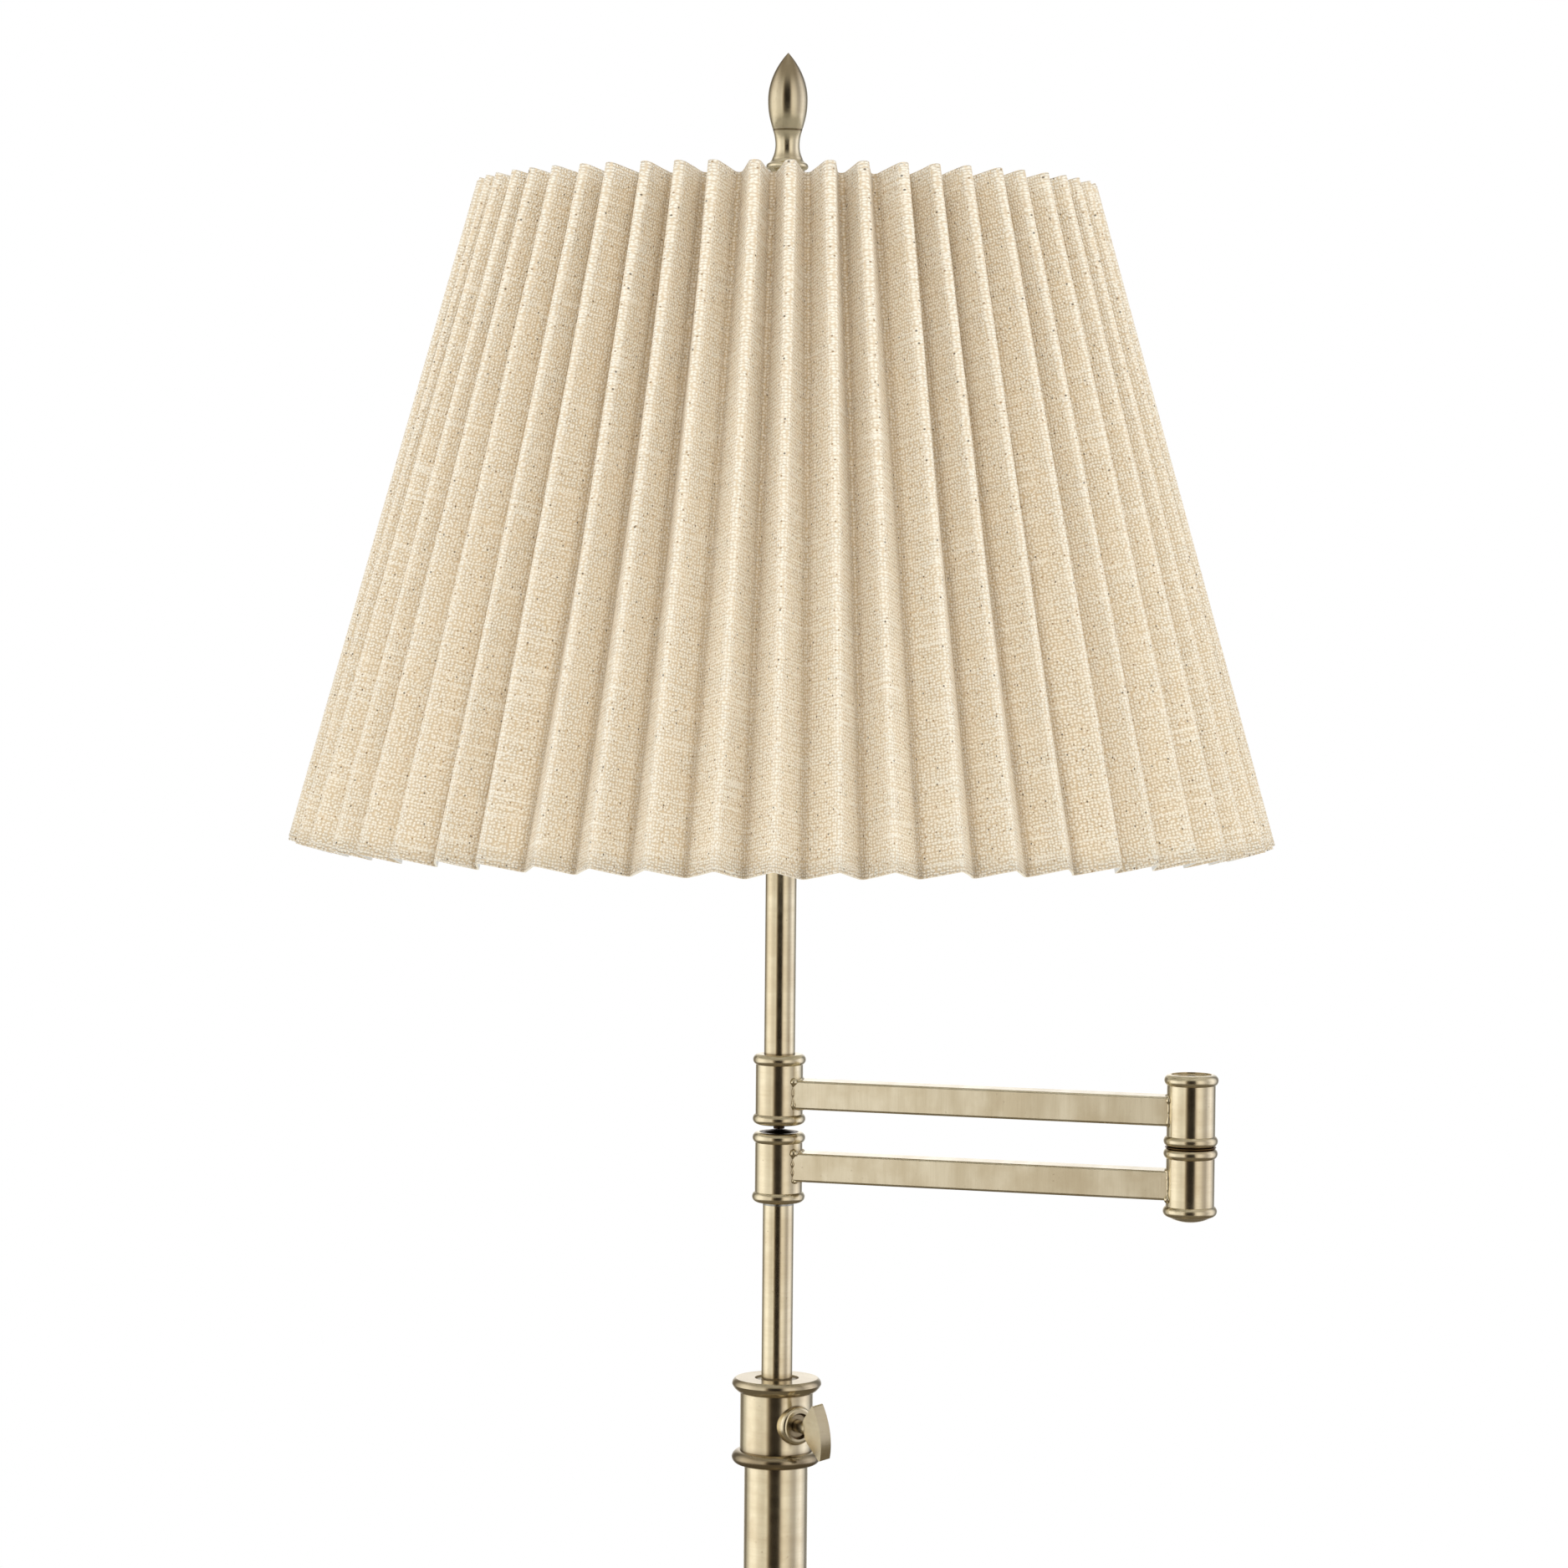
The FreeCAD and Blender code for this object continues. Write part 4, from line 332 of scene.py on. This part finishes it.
BY_SLOT = {
    "antique_brass": brushed_brass("antique_brass_tube"),
    "dark_cap": plain_metal("dark_antique_brass", rgb(70, 54, 38), rgb(40, 30, 22), 0.38),
    "plain_steel": plain_metal("zinc_steel", rgb(176, 176, 170), rgb(140, 140, 136), 0.34),
    "harp_steel": plain_metal("harp_brass", rgb(190, 170, 120), rgb(160, 138, 92), 0.3),
    "shade_wire": plain_metal("shade_wire_steel", rgb(188, 180, 160), rgb(150, 140, 120), 0.35),
    "thread_shell": plain_metal("thread_shell_brass", rgb(206, 184, 128), rgb(176, 150, 98),
                                0.28),
    "contact_brass": plain_metal("contact_brass_plate", rgb(200, 168, 100), rgb(160, 128, 70),
                                 0.3),
    "cast_iron": plain_solid("cast_iron_grey", rgb(60, 60, 62), rgb(44, 44, 46), 0.7, 300.0,
                             0.3),
    "felt": plain_solid("felt_pad", rgb(52, 48, 44), rgb(38, 35, 32), 0.95, 2500.0, 0.4, 0.3),
    "nylon": plain_solid("nylon_white", rgb(226, 222, 210), rgb(214, 208, 196), 0.5),
    "black_plastic": plain_solid("black_moulded", rgb(34, 33, 32), rgb(26, 25, 25), 0.42,
                                 900.0, 0.04),
    "phenolic": plain_solid("phenolic_brown", rgb(58, 40, 30), rgb(40, 28, 22), 0.45, 700.0),
    "card_liner": plain_solid("card_liner", rgb(176, 148, 110), rgb(156, 128, 92), 0.9, 1200.0,
                              0.1),
    "bulb_glass": frosted_glass(),
    "linen": cloth_front,
}
bar_brass = brushed_brass("antique_brass_bar", ACROSS_BAR)
BY_NODE = {
    "lower_arm_bar": bar_brass,
    "upper_arm_bar": bar_brass,
    # Its wide groove reach darkens the boss's recess: painted shadow.
    "key_boss": brushed_brass("antique_brass_boss", groove=9.0),
    "finial": brushed_brass("antique_brass_finial", dark_bands=(FINIAL_SEAM, FINIAL_TIP)),
    "adjuster_collar": brushed_brass("antique_brass_collar", dark_bands=(COLLAR_FOOT, COLLAR_TOP)),
}


def dress_frame():
    """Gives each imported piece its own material, or else its slot's."""
    for name, node in nodes.items():
        for slot in node.material_slots:
            slot.material = BY_NODE.get(name) or BY_SLOT[slot.material.name.split(".")[0]]


def add_object(name, data):
    made = bpy.data.objects.new(name, data)
    bpy.context.scene.collection.objects.link(made)
    return made


def add_mesh(name, verts, faces, *materials):
    mesh = bpy.data.meshes.new(name)
    mesh.from_pydata(verts, [], faces)
    for made in materials:
        mesh.materials.append(made)
    return add_object(name, mesh)


# ---------------------------------------------------------------- shade
# An end of the shade: the radius of its ridges, the depth of its folds, the level of its
# ridges, its twist in degrees, and the roundings of its ridges and valleys.
ShadeEnd = namedtuple("ShadeEnd", "radius depth level twist ridge_round valley_round")
SHADE_BOTTOM = ShadeEnd(radius=204.0, depth=12.4, level=1126.9, twist=-0.8, ridge_round=1.7,
                        valley_round=1.2)
SHADE_TOP = ShadeEnd(radius=127.6, depth=14.2, level=1397.3, twist=0.6, ridge_round=2.4,
                     valley_round=1.6)
PLEATS = 54
CORNERS = PLEATS * 2
CLOTH = 0.8
SLANT = 280.7
LEAN = math.radians(15.78)
# Ridges stray sideways by up to this share of a pleat, in a wave that steps by the golden
# angle from one ridge to the next.
RIDGE_WANDER = 0.06
GOLDEN_ANGLE = 2.399963
# The share of a face's width that a rounding takes up on the map.
ROUNDED_SHARE = 0.2
# A face bulges by up to this much, in this many half waves from the bottom to the top.
BULGE_SEED = 54
BULGE = (-0.32, 0.32)
BULGE_WAVES = (0.6, 1.8)
SHADE_ROWS = 30
ARC_STEPS = 6
FACE_STEPS = 5
FRONT, BACK, EDGE = 0, 1, 2


def rounding(shade, corner):
    """Even corners are ridges and odd ones are valleys."""
    return shade.valley_round if corner % 2 else shade.ridge_round


def rounding_centres(shade):
    """The middle of each rounding on a level line of the shade."""
    pitch = 2 * math.pi / PLEATS
    centres = []
    for corner in range(CORNERS):
        turn = corner * pitch / 2 + math.radians(shade.twist)
        if corner % 2:
            reach = shade.radius - shade.depth * math.cos(LEAN) + shade.valley_round
        else:
            turn += RIDGE_WANDER * pitch * math.sin(GOLDEN_ANGLE * corner / 2)
            reach = shade.radius - shade.ridge_round
        centres.append(Vector((reach * math.sin(turn), -reach * math.cos(turn))))
    return centres


def face_directions(shade, centres):
    """From each rounding's middle to where it meets the face after it, as a unit vector."""
    directions = []
    for corner, centre in enumerate(centres):
        run = centres[(corner + 1) % CORNERS] - centre
        slope = (shade.ridge_round + shade.valley_round) / run.length
        along = run.normalized()
        side = Vector((along.y, -along.x))
        if side.dot(centre) < 0:
            side = -side
        if corner % 2:
            side = -side
        directions.append(along * slope + side * math.sqrt(1 - slope * slope))
    return directions


def shade_line(t):
    """One level line of the shade: points with their place across the flat cloth."""
    shade = ShadeEnd(*(low + (high - low) * t for low, high in zip(SHADE_BOTTOM, SHADE_TOP)))
    centres = rounding_centres(shade)
    directions = face_directions(shade, centres)
    points = []
    for corner, centre in enumerate(centres):
        size = rounding(shade, corner)
        start = -directions[corner - 1]
        end = directions[corner]
        swing = start.angle_signed(end)
        for step in range(ARC_STEPS + 1):
            share = step / ARC_STEPS
            way = start.copy()
            way.rotate(Matrix.Rotation(-swing * share, 2))
            points.append((centre + way * size, corner + (share - 0.5) * ROUNDED_SHARE))
        face_start = centre + end * size
        face_end = centres[(corner + 1) % CORNERS] - end * rounding(shade, corner + 1)
        for step in range(1, FACE_STEPS):
            share = step / FACE_STEPS
            points.append((face_start.lerp(face_end, share),
                           corner + ROUNDED_SHARE / 2 + (1 - ROUNDED_SHARE) * share))
    line = []
    for point, faces_across in points:
        z = shade.level - (shade.radius - point.length) * math.tan(LEAN)
        line.append((Vector((point.x, point.y, z)), faces_across * FACE))
    return line


def bulged_rows():
    """The shade's lines from the bottom up: points, normals and places across the cloth."""
    rand = random.Random(BULGE_SEED)
    last = SHADE_ROWS - 1
    rows = [shade_line(row / last) for row in range(SHADE_ROWS)]
    count = len(rows[0])
    bulges = [(rand.uniform(*BULGE), rand.uniform(*BULGE_WAVES), rand.uniform(*PHASE))
              for _ in range(CORNERS)]
    bulged = []
    for row in range(SHADE_ROWS):
        line = []
        for k in range(count):
            point, across = rows[row][k]
            ahead = rows[row][(k + 1) % count][0] - rows[row][k - 1][0]
            above = rows[min(row + 1, last)][k][0] - rows[max(row - 1, 0)][k][0]
            normal = ahead.cross(above).normalized()
            face, step = divmod(k, ARC_STEPS + FACE_STEPS)
            share = max(0.0, (step - ARC_STEPS) / FACE_STEPS)
            size, waves, start = bulges[face]
            wave = math.sin(waves * math.pi * row / last + start)
            push = size * math.sin(math.pi * share) * wave
            line.append((point + normal * push, normal, across))
        bulged.append(line)
    return bulged


def shade_faces(rows):
    """The cloth's faces, each with its material and its corners on the map."""
    count = len(rows[0])
    last = SHADE_ROWS - 1
    back = count * SHADE_ROWS
    made = []
    for row in range(last):
        low, high = row * SLANT / last, (row + 1) * SLANT / last
        for k in range(count):
            n = (k + 1) % count
            a, b = row * count + k, row * count + n
            c, d = b + count, a + count
            u = rows[row][k][2]
            v = rows[row][n][2] if n else CORNERS * FACE + rows[row][0][2]
            made.append(((a, b, c, d), FRONT, ((u, low), (v, low), (v, high), (u, high))))
            made.append(((back + d, back + c, back + b, back + a), BACK,
                         ((u, high), (v, high), (v, low), (u, low))))
    for row in (0, last):
        for k in range(count):
            a, b = row * count + k, row * count + (k + 1) % count
            face = (a, b, back + b, back + a)
            u = rows[row][k][2]
            made.append((face if row else face[::-1], EDGE,
                         ((u, 0.0), (u + 1, 0.0), (u + 1, 1.0), (u, 1.0))))
    return made


def shade_cloth():
    """The pleated cloth on its white backing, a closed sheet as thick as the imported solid."""
    rows = bulged_rows()
    verts = [point * MM for line in rows for point, normal, across in line]
    verts += [(point - normal * CLOTH) * MM for line in rows for point, normal, across in line]
    faces, kinds, corners = zip(*shade_faces(rows))
    cloth = add_mesh("shade_cloth", verts, faces, cloth_front, cloth_back, cloth_edge)
    for polygon, kind in zip(cloth.data.polygons, kinds):
        polygon.material_index = kind
        polygon.use_smooth = kind != EDGE
    layer = cloth.data.uv_layers.new(name="cloth")
    places = (place for face in corners for place in face)
    for entry, place in zip(layer.data, places):
        entry.uv = place
    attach(cloth, "shade")
    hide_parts("shade_fabric")


# ---------------------------------------------------------------- the arms' seams and washer
HUB_RADIUS = 9.85
BAR_HALF = 6.0
ARM_LENGTH = 175.0
SEAM_STEPS = 160
SEAM_SIDES = 10
SEAM_SIZE = 0.5
LEAST_SEAM = 0.2
# The size wavers by a sum of waves, each this high and this many times round the bar.
SEAM_WAVERS = 7
SEAM_WAVER_HEIGHT = (0.03, 0.10)
SEAM_WAVER_TIMES = (3, 17)
# At 1 the seam's path is square, and at 0 it is round.
SEAM_SQUARENESS = 0.86
# How far a drop stands out, where it lies on its quarter of the path, and the share of the
# path that it takes up.
DROP_SIZE = (0.6, 1.3)
DROP_PLACE = (0.4, 0.6)
DROP_WIDTH = 0.022
# At its bore, at its edges and at the middle of its rounded rim.
WASHER_RADII = (8.6, 10.3, 10.42)
WASHER_GAP = 0.05
WASHER_SIDES = 96


def seam_path(level, far, seed):
    """Points round a bar's near or far end, each with the seam's size there."""
    rand = random.Random(seed)
    waves = [(rand.uniform(*SEAM_WAVER_HEIGHT), rand.randint(*SEAM_WAVER_TIMES),
              rand.uniform(*PHASE)) for _ in range(SEAM_WAVERS)]
    drops = [(rand.uniform(*DROP_SIZE), (corner + rand.uniform(*DROP_PLACE)) / 4 + 1 / 4)
             for corner in range(4)]
    path = []
    for i in range(SEAM_STEPS):
        share = i / SEAM_STEPS
        angle = 2 * math.pi * share
        reach = max(abs(math.cos(angle)), abs(math.sin(angle))) ** SEAM_SQUARENESS
        across = max(-BAR_HALF, min(BAR_HALF, BAR_HALF * math.cos(angle) / reach))
        lift = max(-BAR_HALF, min(BAR_HALF, BAR_HALF * math.sin(angle) / reach))
        along = math.sqrt(HUB_RADIUS * HUB_RADIUS - across * across)
        size = SEAM_SIZE + sum(a * math.sin(n * angle + start) for a, n, start in waves)
        for bulk, where in drops:
            gap = abs((share - where + 0.5) % 1.0 - 0.5)
            size += bulk * math.exp(-(gap / DROP_WIDTH) ** 2)
        point = Vector((ARM_LENGTH - along if far else along, across, level + lift))
        path.append((point, max(LEAST_SEAM, size)))
    return path


def ring_faces(rings, sides):
    """Faces between each ring of points and the next, the last ring joined to the first."""
    return [(i * sides + j, i * sides + (j + 1) % sides,
             (i + 1) % rings * sides + (j + 1) % sides, (i + 1) % rings * sides + j)
            for i in range(rings) for j in range(sides)]


def brazed_seam(name, bar, far, seed, body):
    """The uneven brazed seam round a bar where it meets its hub, with a drop near each corner."""
    low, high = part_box(bar)
    path = seam_path((low[2] + high[2]) / 2 / MM, far, seed)
    turn = Matrix.Rotation(-ARM_TURN, 3, "Z")
    verts = []
    for i, (point, size) in enumerate(path):
        ahead = path[(i + 1) % SEAM_STEPS][0] - path[i - 1][0]
        ahead.normalize()
        side = ahead.cross(Vector((1.0, 0.0, 0.0))).normalized()
        up = side.cross(ahead)
        for j in range(SEAM_SIDES):
            angle = 2 * math.pi * j / SEAM_SIDES
            spot = point + (side * math.cos(angle) + up * math.sin(angle)) * size
            verts.append(turn @ spot * MM)
    seam = add_mesh(name, verts, ring_faces(SEAM_STEPS, SEAM_SIDES), seam_brass)
    for polygon in seam.data.polygons:
        polygon.use_smooth = True
    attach(seam, body)


def pivot_washer():
    """Thin bronze washer between the two sleeves of the arms' pivot."""
    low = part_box("lower_arm_sleeve")[1][2] + WASHER_GAP * MM
    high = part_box("upper_arm_sleeve")[0][2] - WASHER_GAP * MM
    centre = Vector((ARM_LENGTH * math.cos(ARM_TURN), -ARM_LENGTH * math.sin(ARM_TURN), 0.0)) * MM
    bore, rim, crown = WASHER_RADII
    outline = ((bore, low), (rim, low), (crown, (low + high) / 2), (rim, high), (bore, high))
    verts = []
    for i in range(WASHER_SIDES):
        angle = 2 * math.pi * i / WASHER_SIDES
        for radius, level in outline:
            verts.append(centre + Vector((radius * MM * math.cos(angle),
                                          radius * MM * math.sin(angle), level)))
    faces = [face[::-1] for face in ring_faces(WASHER_SIDES, len(outline))]
    washer = add_mesh("pivot_washer", verts, faces, washer_bronze)
    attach(washer, "lower_arm")


# ---------------------------------------------------------------- studio
# The plain light all round, where the white behind the lamp is 1.
AMBIENT = 0.80
WORLD_STRENGTH = 2.0
# What the metal mirrors, all round from straight behind the lamp: degrees from the front
# towards the right, and a colour. Two tall soft boxes, with the dark of the room between.
AROUND = (
    (-180, (1.30, 1.28, 1.26)), (-166, (0.72, 0.70, 0.67)), (-152, (0.24, 0.22, 0.19)),
    (-138, (0.22, 0.20, 0.17)), (-120, (0.74, 0.72, 0.67)), (-102, (1.30, 1.27, 1.25)),
    (-82, (1.36, 1.34, 1.32)), (-62, (1.04, 1.01, 0.98)), (-46, (0.92, 0.90, 0.86)),
    (-34, (1.10, 1.06, 1.01)), (-27, (0.42, 0.35, 0.26)), (-21, (0.040, 0.027, 0.014)),
    (-8, (0.016, 0.011, 0.007)), (6, (0.016, 0.011, 0.007)), (13, (0.040, 0.030, 0.018)),
    (20, (0.80, 0.73, 0.66)), (30, (1.14, 1.09, 1.04)), (44, (1.02, 0.98, 0.95)),
    (60, (0.64, 0.61, 0.60)), (72, (0.56, 0.54, 0.55)), (86, (0.98, 0.97, 1.03)),
    (101, (1.28, 1.27, 1.36)), (118, (0.90, 0.90, 0.97)), (138, (0.26, 0.26, 0.27)),
    (152, (0.28, 0.28, 0.28)), (166, (0.76, 0.76, 0.77)), (180, (1.30, 1.28, 1.26)))
# The same above and below that band, by height from -1 to 1.
ABOVE = (
    (-1.0, (0.12, 0.095, 0.065)), (-0.6, (0.16, 0.13, 0.09)), (-0.2, (0.26, 0.22, 0.16)),
    (0.3, (0.44, 0.41, 0.35)), (0.7, (0.50, 0.47, 0.42)), (0.92, (0.62, 0.60, 0.56)),
    (1.0, (0.80, 0.79, 0.77)))
# Where the band fades out, above it and below it.
FADE_ABOVE = (0.42, 0.80)
FADE_BELOW = (0.55, 0.95)
FLOOR_RADIUS = 2.7
FLOOR_SIDES = 96
FLOOR_FADE = (1.4, 2.6)
# Name, place and aim, width and height, and watts.
SOFT_LIGHTS = (
    ("left_softbox", (-2.15, -0.75, 1.45), (0.0, 0.0, 1.2), 1.5, 2.2, 12.0),
    ("right_softbox", (2.15, -0.75, 1.45), (0.0, 0.0, 1.2), 1.5, 2.2, 12.0),
    ("front_fill", (0.0, -3.2, 1.5), (0.0, 0.0, 1.2), 2.6, 1.8, 26.0),
    ("overhead", (0.0, -0.4, 3.2), (0.0, 0.0, 1.0), 1.6, 1.6, 12.0))
CAMERA_PLACE = (0.00085, -1.9614, 1.2468)
CAMERA_LENS = 108.63
CAMERA_SENSOR = 36.0
CAMERA_REACH = 50.0
CAMERA_PITCH = math.radians(2.832)
CAMERA_ROLL = math.radians(0.5)


def dimmed(colour):
    """A colour as the world's node holds it, so that its strength brings it back."""
    return tuple(level / WORLD_STRENGTH for level in colour)


def studio_world():
    """White for the camera, a studio of soft boxes for reflections, plain light for the rest."""
    world = bpy.data.worlds.new("studio")
    bpy.context.scene.world = world
    world.use_nodes = True
    g = Graph(world.node_tree)
    way = g.node("SeparateXYZ", {0: g.add("TexCoord", out="Generated")}).outputs
    turn = g.math("ARCTAN2", way["X"], g.math("MULTIPLY", way["Y"], -1.0))
    around = g.ramp(g.math("ADD", g.math("DIVIDE", turn, 2 * math.pi), 0.5),
                    [((angle + 180) / 360, dimmed(colour)) for angle, colour in AROUND])
    above = g.ramp(g.math("ADD", g.math("MULTIPLY", way["Z"], 0.5), 0.5),
                   [((level + 1) / 2, dimmed(colour)) for level, colour in ABOVE])
    off_band = g.math("MAXIMUM", g.spread(way["Z"], *FADE_ABOVE),
                      g.spread(g.math("MULTIPLY", way["Z"], -1.0), *FADE_BELOW))
    mirrored = g.mix(off_band, around, above)
    path = g.node("LightPath").outputs
    seen = g.math("MAXIMUM", path["Is Camera Ray"], path["Is Transmission Ray"])
    ambient = AMBIENT / WORLD_STRENGTH
    plain = g.math("ADD", g.math("MULTIPLY", seen, 1 / WORLD_STRENGTH - ambient), ambient)
    grey = g.add("CombineColor", {0: plain, 1: plain, 2: plain})
    colour = g.mix(path["Is Glossy Ray"], grey, mirrored)
    shader = g.add("Background", {"Color": colour, "Strength": WORLD_STRENGTH})
    g.node("OutputWorld", {"Surface": shader})


def studio_floor():
    """A pale floor that fades into the white, darker where the metal mirrors it."""
    made, g = material("studio_floor")
    place = g.add("TexCoord", out="Object")
    out = g.add("VectorMath", {0: place}, "Value", operation="LENGTH")
    grain = g.noise(place, 40.0, 3.0)
    pale = g.mix(g.spread(grain, 0.3, 0.7), rgb(244, 244, 243), rgb(240, 240, 239))
    seen = g.add("BsdfPrincipled", {"Base Color": pale, "Roughness": 0.85})
    mirrored = g.add("BsdfDiffuse", {"Color": rgb(112, 104, 90)})
    is_glossy = g.node("LightPath").outputs["Is Glossy Ray"]
    surface = g.add("MixShader", {0: is_glossy, 1: seen, 2: mirrored})
    faded = g.add("MixShader", {0: g.spread(out, *FLOOR_FADE), 1: surface,
                                2: g.add("BsdfTransparent")})
    g.node("OutputMaterial", {"Surface": faded})
    turns = [2 * math.pi * i / FLOOR_SIDES for i in range(FLOOR_SIDES)]
    rim = [(FLOOR_RADIUS * math.cos(turn), FLOOR_RADIUS * math.sin(turn), 0.0)
           for turn in turns]
    floor = add_mesh("studio_floor", rim, [tuple(range(FLOOR_SIDES))], made)


def soft_light(name, place, aim, width, height, watts):
    """A soft box that lights the lamp but shows neither to the camera nor in the metal."""
    lamp = bpy.data.lights.new(name, "AREA")
    lamp.shape = "RECTANGLE"
    lamp.size = width
    lamp.size_y = height
    lamp.energy = watts
    light = add_object(name, lamp)
    light.location = place
    light.rotation_euler = (Vector(aim) - Vector(place)).to_track_quat("-Z", "Y").to_euler()
    light.visible_camera = False
    light.visible_glossy = False
    light.visible_transmission = False


def photo_camera():
    """The photograph's viewpoint: a long lens on the shade and the arms, hardly tipped."""
    ahead = Vector((0.0, math.cos(CAMERA_PITCH), -math.sin(CAMERA_PITCH)))
    level = Vector((1.0, 0.0, 0.0))
    upright = Vector((0.0, math.sin(CAMERA_PITCH), math.cos(CAMERA_PITCH)))
    right = level * math.cos(CAMERA_ROLL) + upright * math.sin(CAMERA_ROLL)
    up = upright * math.cos(CAMERA_ROLL) - level * math.sin(CAMERA_ROLL)
    lens = bpy.data.cameras.new("camera")
    lens.sensor_width = CAMERA_SENSOR
    lens.lens = CAMERA_LENS
    lens.clip_end = CAMERA_REACH
    camera = add_object("camera", lens)
    axes = Matrix((right, up, -ahead)).transposed().to_4x4()
    camera.matrix_world = Matrix.Translation(CAMERA_PLACE) @ axes
    bpy.context.scene.camera = camera


photo_camera()
studio_world()
studio_floor()
for light in SOFT_LIGHTS:
    soft_light(*light)
bpy.context.scene.view_settings.view_transform = "Standard"

dress_frame()
shade_cloth()
pivot_washer()
brazed_seam("lower_near_seam", "lower_arm_bar", False, 3, "lower_arm")
brazed_seam("lower_far_seam", "lower_arm_bar", True, 5, "lower_arm")
brazed_seam("upper_near_seam", "upper_arm_bar", False, 11, "upper_arm")
brazed_seam("upper_far_seam", "upper_arm_bar", True, 8, "upper_arm")
